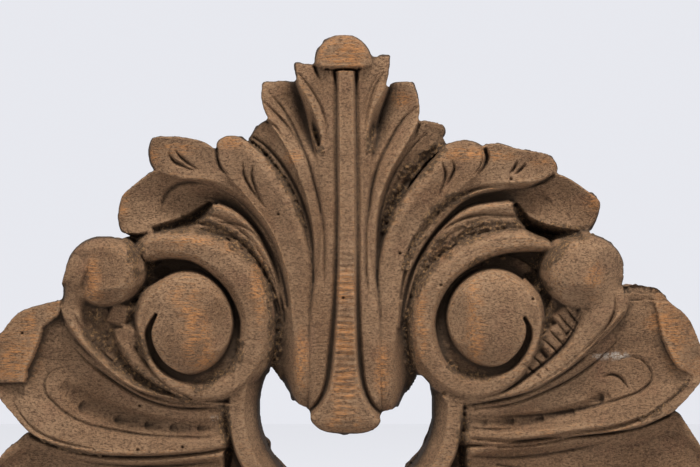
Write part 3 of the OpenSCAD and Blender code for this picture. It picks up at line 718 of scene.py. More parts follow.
def carve_outer_leaves(side, w):
    """The three lower leaves, and the blade that lies over their roots."""
    flute(*w["fifth"], [44, 46, 46, 44], [38, 40, 40, 38], [2, 5, 7, 5], bulge=16, roll=4, side=side)
    flute(*w["fourth"], [44, 42, 42, 42, 42, 42, 46, 47], [42, 43, 45, 46, 46, 46, 47],
          [1, 2, 4, 5, 5, 4, 1], bulge=10, roll=6, side=side, section=FOURTH_MOULD)
    flute(*w["third"], [44, 46, 46, 47, 48, 50, 51, 52, 52, 52], [44, 44, 45, 46, 48, 50, 51, 51, 51],
          w["bowl_depth"], bulge=7, roll=5, roll_at=0.92, side=side, section=THIRD_MOULD)
    if side < 0:
        flute(*w["blade"], [46, 47, 49, 52, 54, 56, 58], [44, 44, 44, 45, 47, 50, 54], 1, side=side,
              skirts=(0.7, 0, 0, 0), section=RIM_BLADE)
    else:
        flute(*w["blade"], [46, 47, 49, 51, 53, 55, 57], [45, 46, 47, 48, 50, 52, 55], -0.5,
              side=side, skirts=(0.7, 0.5, 0, 0), section=BROAD_BLADE)


def carve_wing(side, w):
    """The upper leaf's lobes, bowl and ribs, the two crest leaves and the side panel."""
    flute(*w["recess"], [40, 47, 50, 48, 42], [31, 33, 34, 34, 34], 2, side=side,
          skirts=(0, 0, 0, 0), foot_roll=6, foot_at=0.12)
    flute(*w["low_rib"], [38, 40, 42, 42, 40], [35, 37, 38, 38, 36], 0.5, side=side,
          section=RIB_MOULD)
    flute(*w["rib"], [42, 44, 45.6, 46, 45], [40, 41, 43, 43, 42], 1.0, side=side,
          section=RIB_MOULD)
    flute(*w["bowl"], [42, 42, 43, 44, 47, 48], [36, 36, 35, 34, 40, 46], [1, 2, 4, 7, 6, 2],
          bulge=4, roll=4, side=side)
    flute(*w["mid_lobe"], [50, 50, 50, 50, 51, 51], [47, 46, 45, 46, 49, 49], [0, 1, 1, 1, 1.5, 1],
          bulge=4, roll=5, side=side)
    flute(*w["edge_lobe"], [56, 57, 55, 53, 53, 54, 54, 53], [51, 52, 50, 48, 47, 48, 50, 50],
          [-1.5, -1, 0, 1, 1.5, 1.5, 1, 1], bulge=5, roll=4, roll_at=0.92, side=side,
          foot_roll=10, foot_at=0.1, section=EDGE_BEVEL)
    valley = inside(w["valley"], side)
    raise_to(valley, VALLEY_FLOOR)
    cover[valley] = 1
    flute(*w["crest_three"], [51, 49.5, 48, 46.5, 44], [47, 43, 40, 39, 40], [0, 0.6, 1], bulge=3, roll=4,
          roll_at=0.88, side=side)
    flute(*w["crest_two"], [54, 54, 53.6, 53, 52.4, 51.6, 51, 50, 38, 32, 31, 38],
          [52, 51.4, 50.6, 50, 49, 48, 47.6, 47], [0, 0.4, 0.6, 0.6, 0], bulge=1,
          roll=3, roll_at=0.92, side=side)
    flute(*w["panel"], [58, 58, 57, 55, 53.4, 53], [57, 57, 54, 52, 51, 50],
          [-1.5, -1.2, -1, -0.5, 0.5, 1], roll=2, roll_at=0.95, side=side,
          foot_roll=9, foot_at=0.07)


def carve_beside_eye(side, w):
    """The sunk channel round the eye, and the nook with its worn blocks."""
    cx, cz, rx, rz = w["eye"]
    well = from_middle(side * cx, cz, rx + EYE_CHANNEL, rz + EYE_CHANNEL) < 1
    floor = 37 - 0.05 * (cx - side * X - 10).clip(0, 60) - 0.22 * (Z - cz).clip(-22, 60)
    relief[well] = floor[well]
    pocket_x, pocket_z = w["pocket"]
    relief[:] = np.minimum(relief, 60 - 34 * near(side * pocket_x, pocket_z, 9, 6))
    raise_to(inside(w["nook"], side), w["nook_floor"])
    for tooth_x, tooth_z, half_wide, half_tall, top in w["teeth"]:
        worn_block(side * tooth_x, tooth_z, half_wide, half_tall, top, side * w["tooth_turn"])
    if "tail" in w:
        flute(*w["tail"], [44, 46, 47, 48, 48], [45, 47, 48, 49, 49], -1, side=side,
              skirts=(1, 1, 1, 0))


def carve_volute(side, w):
    """The rolled band, the eye with its slot, and the knob at the band's end."""
    flute(*w["band"], BAND_HEIGHTS, BAND_HEIGHTS, -0.6, skirts=(1.8, 1.4, 1, 0), side=side,
          section=BAND_MOULD)
    cx, cz, rx, rz = w["eye"]
    dome(cx, cz, rx, rz, 48, 58.5, power=3.0, skirt=1.6, side=side)
    on_eye = from_middle(side * cx, cz, rx, rz) < 1.02
    pare_to(on_eye, 57.4 + 0.72 * (side * X - w["ridge"]) + 0.07 * np.abs(Z - cz))
    sink(w["slot"], [1.6, 3.8, 5, 5.6, 5.6, 5, 3], [48, 45, 43, 42, 42, 42, 42], side)
    kx, kz, krx, krz = w["knob"]
    dome(kx, kz, krx, krz, 50, 63.4, power=2.9, side=side, lean=(0.03, -0.02), skirt=0.8)
    on_knob = from_middle(side * kx, kz, krx, krz) < 1.1
    pare_to(on_knob, 62.6 - 0.62 * (side * X - kx - 2.5) + 0.10 * (Z - kz))
    pare_to(on_knob, 62.4 + 0.9 * (Z - kz + 9) + 0.12 * (side * X - kx))
    if "cheek" in w:
        flute(*w["cheek"], [54, 57, 57, 55.4, 52], [59, 60, 58, 55.6, 51], -0.8, side=side,
              skirts=(1, 0.6, 0, 0))
    for below, half_tall, radius in ((17, 9, 3.4), (16, 8, 2.6)):
        ease(side * (kx + w["join"]), kz - below, 26 - w["join"], half_tall, radius)
    ease(side * 33, -34, 5, 24, 2.4)


def carve_midrib():
    """The middle rib, which runs down into the hanging tongue."""
    dome(0.4, -55.5, 20.8, 12.8, 42, 47, power=3)
    flute([(-3.8, 150), (-3.6, 110), (-3.2, 60), (-4.2, 10), (-6.8, -22), (-9.4, -38), (-14, -48.5),
           (-19.4, -55), (-20, -60), (-15, -65), (-8, -68)],
          [(4.6, 150), (5.4, 110), (5.8, 60), (5.8, 10), (7.0, -22), (9.6, -38), (14, -49),
           (20.2, -57), (21, -61), (16, -65.6), (9, -68.3)],
          MIDRIB_HEIGHTS, MIDRIB_HEIGHTS, -0.3, skirts=(0.7, 0.7, 0, 1), roll=13, roll_at=0.915,
          section=MIDRIB_MOULD)
    web = inside([(-20, -56), (-13, -44), (13, -44), (20, -56), (12, -62), (-12, -62)])
    raise_to(web, TONGUE_WEB)
    cover[web] = 1


def carve_crest_knob():
    """Half knob on top, cut off below on a shallow curve with a shadow line."""
    below = relief.copy()
    dome(-1, 154, 17.4, 17.6, 50.5, 56.6, power=8)
    relief[:] = np.where(Z < 150.2 + 0.008 * (X + 1) ** 2, below, relief)
    shelf = (Z > 149.6) & (Z < 151.4) & (np.abs(X + 1) < 11)
    relief[shelf] -= 1.8
    for level in (153.4, 156.6, 160.6, 163.8, 166.4):
        groove([(-14, level - 0.4), (-4, level + 0.3), (6, level - 0.2), (13, level + 0.3)],
               [0.6, 1.3, 1.1, 0.6], [0.1, 0.5, 0.35, 0.1])


def carve_midrib_channels():
    """The deep channel down each side of the middle rib."""
    for points in ([(-6.4, 147.4), (-5.8, 144), (-5.5, 110), (-5.0, 60), (-6.0, 15), (-8.4, -18),
                    (-10.8, -38), (-15.2, -48.6), (-20.8, -55.6)],
                   [(5.4, 148), (7.0, 144), (7.4, 110), (7.8, 60), (7.9, 12), (8.8, -18), (10.8, -38),
                    (15.4, -49.4), (21.4, -57.6)]):
        groove(points, [3, 3.8, 3.8, 3.8, 4, 4.6, 4.6], [1.6, 2.4, 2.4, 2.8, 3.8, 4.6, 4.4], 1.5)


def carve_lines(side):
    """The knife lines of one side."""
    for points, width, depth, *sharp in CUTS[side]:
        groove(points, width, CUT_SCALE * np.array(depth), *sharp, side=side)


def carve_gouge_stops(side, run=13, depth=3.2, fade=3.5):
    """Each stop deepens over its run and ends in a curved step."""
    for at, top, foot in STOPS[side]:
        span = np.clip((top - Z) / fade, 0, 1) * np.clip((Z - foot) / fade, 0, 1)
        u = side * X - at + 0.16 * (Z - (top + foot) / 2) ** 2
        ramp_down = np.where((u > -run) & (u < 0), (u + run) / run, 0) ** 1.8
        relief[:] = relief - depth * ramp_down * span


def carve_facets():
    """Flat ends of the third leaves."""
    for side, points in TIP_FACETS.items():
        if side < 0:
            plane = 54.5 - 0.05 * (-X - 190) + 0.02 * Z
        else:
            plane = np.minimum(54, 54 - 0.55 * (X - 201)) - 0.25 * (Z - 6).clip(0, 20)
        raise_to(inside(points) & (cover > 0), plane)


def tear_layers():
    """Split layers of wood on the right third leaf."""
    torn = (X > 167) & (X < 197) & (Z > 9 + 0.1 * (196 - X)) & (cover > 0)
    layers = np.floor((Z - 9 + 0.6 * mottle(9, 9, 5)) / 2.4)
    relief[torn] -= (1.5 * layers + 1.0 * (layers % 2))[torn].clip(0, 9)


carve_ground()
carve_strap_and_foot()
for side, wing in WINGS.items():
    carve_outer_leaves(side, wing)
    carve_wing(side, wing)
    carve_beside_eye(side, wing)
    carve_volute(side, wing)
carve_facets()
tear_layers()
carve_midrib()
carve_crest_knob()
carve_midrib_channels()
for side in WINGS:
    carve_lines(side)
    carve_gouge_stops(side)

# ---- worn and weathered surface ---------------------------------------------

DIRT_SPREAD = 2.1  # how much wider the dirt lies than its listed widths
RIM_ROUND = 2.0
LEAST_HEIGHT = 6
HOLE_RADIUS, HOLE_DEPTH = 0.9, 2.6


def dirt_map():
    """Where loose dirt lies, from 0 to 1."""
    packed = np.zeros_like(relief)
    for side, strokes in DIRT.items():
        for points, width in strokes:
            stroke = cut_field(points, DIRT_SPREAD * np.array(width), [1], 2.0, side)
            packed = np.maximum(packed, stroke)
    return packed


def tool_ripples():
    """Shallow cross marks of the gouge on the middle rib and side panels."""
    wave = np.sin(2 * pi * Z / 3.7 + 1.6 * mottle(40, 22, 11))
    rib = np.clip((7 - np.abs(X)) / 2, 0, 1) * np.clip((70 - Z) / 40, 0, 1)
    panels = (np.clip((30 - np.abs(X)) / 6, 0, 1) * np.clip((np.abs(X) - 9) / 3, 0, 1)
              * np.clip((34 - Z) / 26, 0, 1) * np.clip((Z + 52) / 8, 0, 1))
    fine = np.sin(2 * pi * Z / 2.1 + 1.4 * mottle(16, 20, 12))
    return 0.34 * wave * rib + 0.12 * fine * panels * (0.6 + 0.5 * mottle(9, 14, 13))


def close_slits():
    """Fill the hair-thin gaps between neighbouring leaves."""
    slit = (soften(cover, 1.8) > 0.63) & (cover < 0.5)
    cover[slit] = 1
    raise_to(slit, GROUND)


def rim_wear():
    """How far the outer edge is rounded off."""
    edge = np.clip(blur(cover, 10), 0.002, 0.998)
    inward = 2.1 * np.log(edge / (1 - edge)) * STEP
    brink = np.clip(1 - inward / RIM_ROUND, 0, 1)
    return RIM_ROUND * (1 - np.sqrt(1 - 0.98 * brink ** 2))


def worm_hole(hole_x, hole_z):
    """Depth of a beetle's exit hole."""
    away = np.hypot(X - hole_x, Z - hole_z) / HOLE_RADIUS
    return HOLE_DEPTH * np.clip(1.35 - away, 0, 1)


close_slits()
ramp = blur(cover, 3)
relief = np.where(relief < LEAST_HEIGHT, LEAST_HEIGHT, relief)
relief = 0.5 * (relief + blur(relief, 1))
dirt = dirt_map()
relief = relief - rim_wear()
relief += 0.45 * mottle(26, 22, 21) + 0.16 * mottle(9, 6, 22) + 0.06 * mottle(4.5, 1.6, 23)
relief += tool_ripples()

# Loose dirt fills the hollows it lies in, and stands up in crumbs
pack = np.clip(dirt * (1.15 + 0.6 * mottle(5, 5, 31) + 0.5 * mottle(1.8, 1.8, 34)) - 0.12, 0, 1)
floor_line = soften(relief, 1.6)
relief = relief + 0.55 * pack * np.clip(floor_line - relief + 0.8, 0, 5)
crumbs = np.clip(0.7 + 0.55 * mottle(1.5, 1.5, 32) + 0.4 * mottle(2.6, 2.6, 33), 0, 2)
relief += pack * crumbs
for hole in WORM_HOLES:
    relief -= worm_hole(*hole)

# ---- the solid --------------------------------------------------------------

box_low, box_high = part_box("bracket")
UNIT = (box_high.x - box_low.x) / FULL_WIDTH
LEFT = box_low.x
TOP = box_high.z
BACK = box_high.y
SHY = 0.00005  # how far the mesh stays inside the bracket's own box
WALL_LEVELS = ((0.04, 0.1), (0.2, 0.8), (0.5, 1.6), (0.8, 1.0), (0.955, 0.6), (1.0, 1.8))
WALL_MARKS = mottle(2.2, 40, 41) + 0.8 * mottle(11, 60, 42)
FACE_LIMIT = 186000
CREASE_FROM = radians(58)


def place(points):
    """Layout millimetres (x, h, z) to metres in the bracket's own frame."""
    p = np.asarray(points, float)
    made = np.stack([LEFT + (p[:, 0] + LEFT_REACH) * UNIT, BACK - p[:, 1] * UNIT,
                     TOP + (p[:, 2] - CREST_TOP) * UNIT], axis=1)
    return np.clip(made, np.array(box_low) + SHY, np.array(box_high) - (SHY, 0, SHY))


def read(field, x, z):
    """Field value between grid points."""
    fx = np.clip((x - X_LOW) / STEP, 0, COLS - 1.001)
    fz = np.clip((z - Z_LOW) / STEP, 0, ROWS - 1.001)
    i, j = fx.astype(int), fz.astype(int)
    a, b = fx - i, fz - j
    return ((field[j, i] * (1 - a) + field[j, i + 1] * a) * (1 - b)
            + (field[j + 1, i] * (1 - a) + field[j + 1, i + 1] * a) * b)


def crossings(level, dx, dz, first):
    """Where the outline cuts the grid lines along x or z: places and point numbers."""
    here, after = level[:ROWS - dz, :COLS - dx], level[dz:, dx:]
    j, i = np.nonzero((here > 0.5) != (after > 0.5))
    t = (0.5 - here[j, i]) / (after[j, i] - here[j, i])
    ids = np.full(here.shape, -1)
    ids[j, i] = first + np.arange(len(j))
    return GX[i] + dx * t * STEP, GZ[j] + dz * t * STEP, ids


def cell_walk(kind):
    """The way round a cell's share of wood: even steps are corners, odd ones crossings."""
    on = [bool(kind >> k & 1) for k in range(4)]
    walk = []
    for k in range(4):
        if on[k]:
            walk.append(2 * k)
        if on[k] != on[(k + 1) % 4]:
            walk.append(2 * k + 1)
    return walk


def split_squares(corners, cells):
    """Two triangles for each whole cell, split on the diagonal that differs less in height."""
    a, b, c, d = corners
    j, i = cells
    h = [relief[j, i], relief[j, i + 1], relief[j + 1, i + 1], relief[j + 1, i]]
    turn = np.abs(h[0] - h[2]) > np.abs(h[1] - h[3])
    first = np.where(turn, [a, b, d], [a, b, c])
    second = np.where(turn, [b, c, d], [a, c, d])
    return [first.T, second.T]


def outline_mesh(level):
    """Points and triangles of the area where level is over 0.5, with its rim."""
    full = level > 0.5
    jj, ii = np.nonzero(full)
    ids = np.full(level.shape, -1)
    ids[jj, ii] = np.arange(len(ii))
    across_x, across_z, across = crossings(level, 1, 0, len(ii))
    upright_x, upright_z, upright = crossings(level, 0, 1, len(ii) + len(across_x))
    ring = [ids[:-1, :-1], across[:-1, :], ids[:-1, 1:], upright[:, 1:],
            ids[1:, 1:], across[1:, :], ids[1:, :-1], upright[:, :-1]]
    code = full[:-1, :-1] * 1 + full[:-1, 1:] * 2 + full[1:, 1:] * 4 + full[1:, :-1] * 8
    tris, rim = [], []
    for kind in range(1, 16):
        cells = np.nonzero(code == kind)
        if not len(cells[0]):
            continue
        walk = cell_walk(kind)
        poly = [ring[k][cells] for k in walk]
        if kind == 15:
            tris += split_squares(poly, cells)
            continue
        for k in range(1, len(poly) - 1):
            tris.append(np.stack([poly[0], poly[k], poly[k + 1]], axis=1))
        for k in range(len(walk)):
            after = (k + 1) % len(walk)
            if walk[k] % 2 and walk[after] % 2:
                rim.append(np.stack([poly[k], poly[after]], axis=1))
    x = np.concatenate([GX[ii], across_x, upright_x])
    z = np.concatenate([GZ[jj], across_z, upright_z])
    return x, z, np.concatenate(tris), np.concatenate(rim)


def rim_loops(rim):
    """The rim's loose edges strung into closed loops."""
    after = dict(zip(rim[:, 0].tolist(), rim[:, 1].tolist()))
    loops = []
    while after:
        start = next(iter(after))
        loop = [start]
        step = after.pop(start)
        while step != start:
            loop.append(step)
            step = after.pop(step)
        loops.append(loop)
    return loops


def wall_rings(x, z, h):
    """Rows of points down the side walls, each set in a little behind the rim."""
    slope_z, slope_x = np.gradient(blur(cover, 8), STEP)
    nx, nz = read(slope_x, x, z), read(slope_z, x, z)
    length = np.maximum(np.hypot(nx, nz), 1e-6)
    nx, nz = nx / length, nz / length
    rings = []
    for fall, set_in in WALL_LEVELS:
        wobble = 0.5 * read(WALL_MARKS, x, z * 0.9 + 30 * fall)
        set_in = set_in + wobble * (fall < 0.99)
        rings.append(np.stack([x + nx * set_in, h * (1 - fall), z + nz * set_in], axis=1))
    return rings


def back_faces(base, loops):
    """Triangles that close the flat back over the last row of wall points."""
    start = 0
    rings = []
    for loop in loops:
        rings.append([Vector((base[k, 0], base[k, 2], 0)) for k in range(start, start + len(loop))])
        start += len(loop)
    back = np.array(tessellate_polygon(rings))
    corner = base[back][:, :, [0, 2]]
    turn = ((corner[:, 1, 0] - corner[:, 0, 0]) * (corner[:, 2, 1] - corner[:, 0, 1])
            - (corner[:, 1, 1] - corner[:, 0, 1]) * (corner[:, 2, 0] - corner[:, 0, 0]))
    return np.where((turn > 0)[:, None], back[:, ::-1], back)


def solid_mesh():
    """Closed solid: carved face, side walls that ease in behind it, flat back."""
    x, z, tris, rim = outline_mesh(ramp)
    depth = read(relief, x, z)
    loops = rim_loops(rim)
    rim_ids = np.concatenate([np.array(loop) for loop in loops])
    slot_of = np.full(len(x), -1)
    slot_of[rim_ids] = np.arange(len(rim_ids))
    a, b = slot_of[rim[:, 0]], slot_of[rim[:, 1]]
    rings = wall_rings(x[rim_ids], z[rim_ids], depth[rim_ids])
    faces = [tris]
    upper = rim_ids
    for k in range(len(rings)):
        lower = len(x) + k * len(rim_ids) + np.arange(len(rim_ids))
        faces.append(np.stack([upper[b], upper[a], lower[a]], axis=1))
        faces.append(np.stack([upper[b], lower[a], lower[b]], axis=1))
        upper = lower
    faces.append(upper[back_faces(rings[-1], loops)])
    points = [np.stack([x, depth, z], axis=1)] + rings
    return place(np.concatenate(points)), np.concatenate(faces)


def new_piece(name, points, faces):
    """A plain mesh object from rows of points and triangles."""
    mesh = bpy.data.meshes.new(name)
    mesh.vertices.add(len(points))
    mesh.vertices.foreach_set("co", np.ascontiguousarray(points, dtype=np.float32).ravel())
    mesh.loops.add(faces.size)
    mesh.loops.foreach_set("vertex_index", np.ascontiguousarray(faces, dtype=np.int32).ravel())
    mesh.polygons.add(len(faces))
    mesh.polygons.foreach_set("loop_start", np.arange(0, faces.size, 3, dtype=np.int32))
    mesh.update(calc_edges=True)
    mesh.validate()
    piece = bpy.data.objects.new(name, mesh)
    bpy.context.scene.collection.objects.link(piece)
    return piece


def bake_modifier(piece):
    """Turn the piece into the plain mesh that its modifiers give."""
    graph = bpy.context.evaluated_depsgraph_get()
    mesh = bpy.data.meshes.new_from_object(piece.evaluated_get(graph))
    mesh.name = piece.name
    piece.modifiers.clear()
    piece.data = mesh


def vertex_places(piece):
    """The piece's points as rows of x, y, z in metres."""
    co = np.empty(len(piece.data.vertices) * 3, dtype=np.float32)
    piece.data.vertices.foreach_get("co", co)
    return co.reshape(-1, 3)


def true_back(piece):
    """Bring points that thinning left a hair behind the back onto its plane."""
    co = vertex_places(piece)
    co[:, 1] = np.minimum(co[:, 1], BACK)
    piece.data.vertices.foreach_set("co", co.ravel())
    piece.data.update()


def paint_maps(piece, maps):
    """Give each vertex the value of each surface map where it lies."""
    co = vertex_places(piece)
    x = (co[:, 0] - LEFT) / UNIT - LEFT_REACH
    z = (co[:, 2] - TOP) / UNIT + CREST_TOP
    h = (BACK - co[:, 1]) / UNIT
    carved_face = np.clip(1 - (read(relief, x, z) - h - 1.5) / 3, 0, 1)
    for name, field in maps.items():
        layer = piece.data.attributes.new(name, "FLOAT", "POINT")
        value = read(field, x, z) * carved_face
        layer.data.foreach_set("value", value.astype(np.float32))


def surface_maps():
    """Fields that the wood's colours follow."""
    filled = np.where(ramp > 0.5, relief, 0)
    inside_area = (ramp > 0.5).astype(float)
    # How far each point lies below its neighbours, at three sizes: the wood is darkened by it as painted
    # shade in the hollows, along with dirt, and paled where it is negative as a painted highlight on the
    # crests
    hollow = np.zeros_like(relief)
    for radius, weight in ((1.2, 0.20), (4.0, 0.075), (9.0, 0.032)):
        mean = soften(filled * inside_area, radius) / np.maximum(soften(inside_area, radius), 0.15)
        hollow += weight * (mean - filled)
    rubbed = np.zeros_like(relief)
    for x, z, wide, tall in RUBBED:
        rubbed = np.maximum(rubbed, near(x, z, wide * 1.25, tall * 1.25, 0.7))
    for points in TIP_FACETS.values():
        rubbed = np.maximum(rubbed, 0.35 * inside(points))
    scuffed = np.zeros_like(relief)
    for x, z, wide, tall in SCUFFS:
        scuffed = np.maximum(scuffed, near(x, z, wide, tall, 0.8))
    return {"scuffed": scuffed, "hollow": np.clip(hollow, -1, 1), "dirt": pack,
            "rubbed": soften(rubbed, 1.0)}


carving = new_piece("carved_bracket", *solid_mesh())
thin = carving.modifiers.new("thin", "DECIMATE")
thin.ratio = min(1.0, FACE_LIMIT / len(carving.data.polygons))
bake_modifier(carving)
true_back(carving)
carving.data.polygons.foreach_set("use_smooth", np.ones(len(carving.data.polygons), dtype=bool))
carving.data.set_sharp_from_angle(angle=CREASE_FROM)
paint_maps(carving, surface_maps())

# ---- old wood ---------------------------------------------------------------

class NodeBench:
    """Builds the nodes of a finish, or of the studio's light, in reading order."""

    def __init__(self, owner, output="OutputMaterial"):
        owner.use_nodes = True
        self.tree = owner.node_tree
        self.tree.nodes.clear()
        self.output = self.tree.nodes.new("ShaderNode" + output)

    def put(self, socket, value):
        """Feed a socket from another socket, or with a plain value."""
        if isinstance(value, bpy.types.NodeSocket):
            self.tree.links.new(value, socket)
        else:
            socket.default_value = value

    def node(self, kind, inputs=None, **settings):
        """Add a node, with its inputs fed and its settings made."""
        made = self.tree.nodes.new("ShaderNode" + kind)
        for key, value in settings.items():
            setattr(made, key, value)
        for key, value in (inputs or {}).items():
            self.put(made.inputs[key], value)
        return made

    def math(self, operation, a, b):
        return self.node("Math", {0: a, 1: b}, operation=operation).outputs[0]

    def mix(self, factor, a, b):
        """Colour a, with b laid over it by the factor."""
        made = self.node("Mix", data_type="RGBA")
        for socket, value in zip((0, 6, 7), (factor, a, b)):
            self.put(made.inputs[socket], value)
        return made.outputs[2]

    def noise(self, vector, scale, detail, rough):
        made = self.node("TexNoise", {"Vector": vector, "Scale": scale, "Detail": detail,
                                      "Roughness": rough})
        return made.outputs[0]

    def stretch(self, vector, scale):
        """Places scaled apart on each axis, so that a pattern runs with the grain."""
        return self.node("Mapping", {"Vector": vector, "Scale": scale}).outputs[0]

    def span(self, value, low, high, to_low=0.0, to_high=1.0):
        """The part of a value between low and high, as to_low to to_high."""
        made = self.node("MapRange", {0: value, 1: low, 2: high, 3: to_low, 4: to_high}, clamp=True)
        return made.outputs[0]

    def attribute(self, name):
        """A map that the piece's points carry."""
        return self.node("Attribute", attribute_name=name).outputs["Fac"]

    def seen_directly(self):
        """1 for what is looked at straight, in a gloss or through glass."""
        rays = self.node("LightPath").outputs
        seen = self.math("MAXIMUM", rays["Is Camera Ray"], rays["Is Glossy Ray"])
        return self.math("MAXIMUM", seen, rays["Is Transmission Ray"])

    def finish(self, shader):
        """Lead a shader to the output."""
        self.put(self.output.inputs[0], shader.outputs[0])


GREY_WOOD = (0.130, 0.069, 0.034, 1)
DUSTY = (0.204, 0.123, 0.069, 1)
DEEP_WOOD = (0.070, 0.036, 0.019, 1)
WARM_WOOD = (0.350, 0.150, 0.050, 1)
REDDISH = (0.140, 0.064, 0.036, 1)
# Near-black brown: painted shade in the hollows, and the dark of packed dirt
DIRT_AND_SHADE_TONE = (0.030, 0.018, 0.010, 1)
CHAFF = (0.210, 0.118, 0.052, 1)
SCUFF_TONE = (0.430, 0.380, 0.320, 1)
# Pale brown laid over raised crests as a painted highlight
PALE_HIGHLIGHT = (0.280, 0.180, 0.105, 1)


def old_wood():
    """Dusty grey-brown wood: painted shade and dirt in the hollows, painted highlight on the crests, warm
    where it is rubbed.
    """
    material = bpy.data.materials.new("weathered_wood")
    s = NodeBench(material)
    place_on = s.node("TexCoord").outputs["Object"]
    grain = s.noise(s.stretch(place_on, (30, 260, 420)), 1.0, 5.0, 0.65)
    fibre = s.noise(s.stretch(place_on, (150, 800, 1300)), 1.0, 4.0, 0.7)
    cloud = s.noise(place_on, 19.0, 5.0, 0.6)
    patch = s.noise(place_on, 60.0, 5.0, 0.6)
    speck = s.noise(place_on, 1100.0, 3.0, 0.8)
    grit = s.noise(place_on, 480.0, 4.0, 0.75)
    pores = s.noise(s.stretch(place_on, (560, 900, 1700)), 1.0, 3.0, 0.7)
    hollow = s.attribute("hollow")
    packed = s.attribute("dirt")
    rubbed = s.attribute("rubbed")
    raised = s.math("MULTIPLY", hollow, -1.0)
    colour = s.mix(s.span(cloud, 0.38, 0.62), GREY_WOOD, DUSTY)
    colour = s.mix(s.span(patch, 0.52, 0.72, 0.0, 0.55), colour, REDDISH)
    # Painted highlight: raised crests and edges are paled
    colour = s.mix(s.span(raised, 0.14, 0.46, 0.0, 0.5), colour, PALE_HIGHLIGHT)
    colour = s.mix(s.span(grain, 0.50, 0.72, 0.0, 0.35), colour, DEEP_WOOD)
    colour = s.mix(s.span(grit, 0.48, 0.62, 0.0, 0.6), colour, DEEP_WOOD)
    colour = s.mix(s.span(speck, 0.49, 0.59, 0.0, 0.7), colour, DUSTY)
    colour = s.mix(s.span(pores, 0.52, 0.63, 0.0, 0.7), colour, DEEP_WOOD)
    worn_edge = s.math("MULTIPLY", s.span(patch, 0.36, 0.48), s.span(fibre, 0.46, 0.56))
    worn_mask = s.math("MULTIPLY", rubbed, worn_edge)
    colour = s.mix(s.math("MULTIPLY", worn_mask, 0.72), colour, WARM_WOOD)
    edge_mask = s.math("MULTIPLY", s.span(raised, 0.16, 0.5), s.span(fibre, 0.5, 0.66))
    colour = s.mix(s.math("MULTIPLY", edge_mask, 0.5), colour, WARM_WOOD)
    # Painted shade: the deeper a point lies below its neighbours, the nearer its colour goes to near-black
    # brown, with grit noise; this stands for dirt in the hollows as well as shade
    shade_and_grime = s.math("ADD", hollow, s.math("MULTIPLY", s.math("SUBTRACT", grit, 0.5), 0.6))
    colour = s.mix(s.span(shade_and_grime, 0.05, 0.60, 0.0, 0.92), colour, DIRT_AND_SHADE_TONE)
    chaff = s.mix(s.span(grit, 0.50, 0.62), DIRT_AND_SHADE_TONE, CHAFF)
    colour = s.mix(s.span(packed, 0.2, 0.75, 0.0, 0.75), colour, chaff)
    scuff = s.math("MULTIPLY", s.attribute("scuffed"), s.span(grit, 0.44, 0.54, 0.0, 0.8))
    colour = s.mix(scuff, colour, SCUFF_TONE)
    height = s.math("ADD", s.math("MULTIPLY", grain, 0.35), s.math("MULTIPLY", fibre, 0.45))
    height = s.math("ADD", height, s.math("MULTIPLY", speck, 0.45))
    height = s.math("ADD", height, s.math("MULTIPLY", grit, 0.6))
    height = s.math("SUBTRACT", height, s.math("MULTIPLY", s.span(pores, 0.54, 0.66), 0.5))
    bump = s.node("Bump", {"Strength": 0.9, "Distance": 0.001, "Height": height})
    s.finish(s.node("BsdfPrincipled", {"Base Color": colour, "Roughness": 0.82,
                                       "Specular IOR Level": 0.2, "Normal": bump.outputs[0]}))
    return material


carving.data.materials.clear()
carving.data.materials.append(old_wood())
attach(carving, "root")
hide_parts("bracket")

# ---- floor, light and camera ------------------------------------------------

MIDDLE_X = LEFT + (3.0 + LEFT_REACH) * UNIT
EYE_HEIGHT = TOP + (52.0 - CREST_TOP) * UNIT
FACE_DEPTH = BACK - 50.0 * UNIT
VIEW_DISTANCE = 1.25
VIEW_WIDTH = 0.42
FLOOR_BEHIND = 1.12
PALE = (0.80, 0.81, 0.86, 1)
FLOOR_TONE = (0.62, 0.62, 0.64, 1)
FLOOR_SEEN = (0.16, 0.16, 0.165, 1)
FLOOR_LIFT = 0.79
FLOOR_HALF_WIDTH = 2.2
FLOOR_BEFORE = 2.0
FLOOR_GAP = 0.0005
SKY = (0.92, 0.95, 1.0, 1)
SKY_LIGHT = 0.5


def pale_ground():
    """Takes light as a plain floor; shows the camera a paler tone that keeps the shadow."""
    material = bpy.data.materials.new("pale_floor")
    s = NodeBench(material)
    plain = s.node("BsdfDiffuse", {"Color": FLOOR_TONE})
    glow = s.node("Emission", {"Color": PALE, "Strength": FLOOR_LIFT})
    shown = s.node("BsdfDiffuse", {"Color": FLOOR_SEEN})
    lifted = s.node("AddShader", {0: shown.outputs[0], 1: glow.outputs[0]})
    s.finish(s.node("MixShader", {0: s.seen_directly(), 1: plain.outputs[0],
                                  2: lifted.outputs[0]}))
    return material


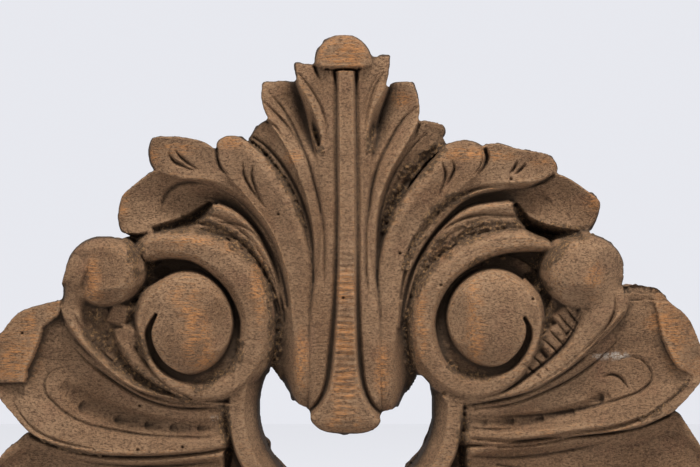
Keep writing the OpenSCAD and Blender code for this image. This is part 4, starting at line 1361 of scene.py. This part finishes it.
def lay_floor():
    """A pale floor just below the foot."""
    floor_z = box_low.z - FLOOR_GAP
    near_y, far_y = -FLOOR_BEFORE, BACK + FLOOR_BEHIND
    corners = [(-FLOOR_HALF_WIDTH, near_y, floor_z), (FLOOR_HALF_WIDTH, near_y, floor_z),
               (FLOOR_HALF_WIDTH, far_y, floor_z), (-FLOOR_HALF_WIDTH, far_y, floor_z)]
    mesh = bpy.data.meshes.new("floor")
    mesh.from_pydata(corners, [], [(0, 1, 2, 3)])
    floor = bpy.data.objects.new("floor", mesh)
    bpy.context.scene.collection.objects.link(floor)
    floor.data.materials.append(pale_ground())


def light_studio():
    """Even light from all round, seen as a plain pale background."""
    world = bpy.data.worlds.new("studio")
    bpy.context.scene.world = world
    s = NodeBench(world, "OutputWorld")
    light = s.node("Background", {0: SKY, 1: SKY_LIGHT})
    view = s.node("Background", {0: PALE, 1: 1.0})
    s.finish(s.node("MixShader", {0: s.seen_directly(), 1: light.outputs[0], 2: view.outputs[0]}))


def soft_lamp(name, place_at, aim, size, power, colour=(1, 1, 1)):
    """A round soft lamp turned towards the carving."""
    lamp = bpy.data.lights.new(name, "AREA")
    lamp.shape = "DISK"
    lamp.size = size
    lamp.energy = power
    lamp.color = colour
    made = bpy.data.objects.new(name, lamp)
    made.location = place_at
    made.rotation_euler = (Vector(aim) - Vector(place_at)).to_track_quat("-Z", "Y").to_euler()
    bpy.context.scene.collection.objects.link(made)


def set_camera():
    """A level camera straight in front."""
    data = bpy.data.cameras.new("camera")
    data.sensor_width = 36.0
    data.lens = data.sensor_width * VIEW_DISTANCE / VIEW_WIDTH
    data.clip_end = 20.0
    camera = bpy.data.objects.new("camera", data)
    camera.location = (MIDDLE_X, FACE_DEPTH - VIEW_DISTANCE, EYE_HEIGHT)
    camera.rotation_euler = (pi / 2, 0, 0)
    bpy.context.scene.collection.objects.link(camera)
    bpy.context.scene.camera = camera


lay_floor()
light_studio()
AIM = (MIDDLE_X, FACE_DEPTH, EYE_HEIGHT - 0.03)
soft_lamp("key", (0.12, -0.62, 1.15), AIM, 0.5, 26.0, (1.0, 0.97, 0.93))
soft_lamp("fill", (-1.0, -1.0, 0.45), AIM, 0.8, 5.0)
soft_lamp("side", (1.0, -0.8, 0.5), AIM, 0.8, 5.0)
set_camera()
bpy.context.scene.view_settings.view_transform = "Standard"
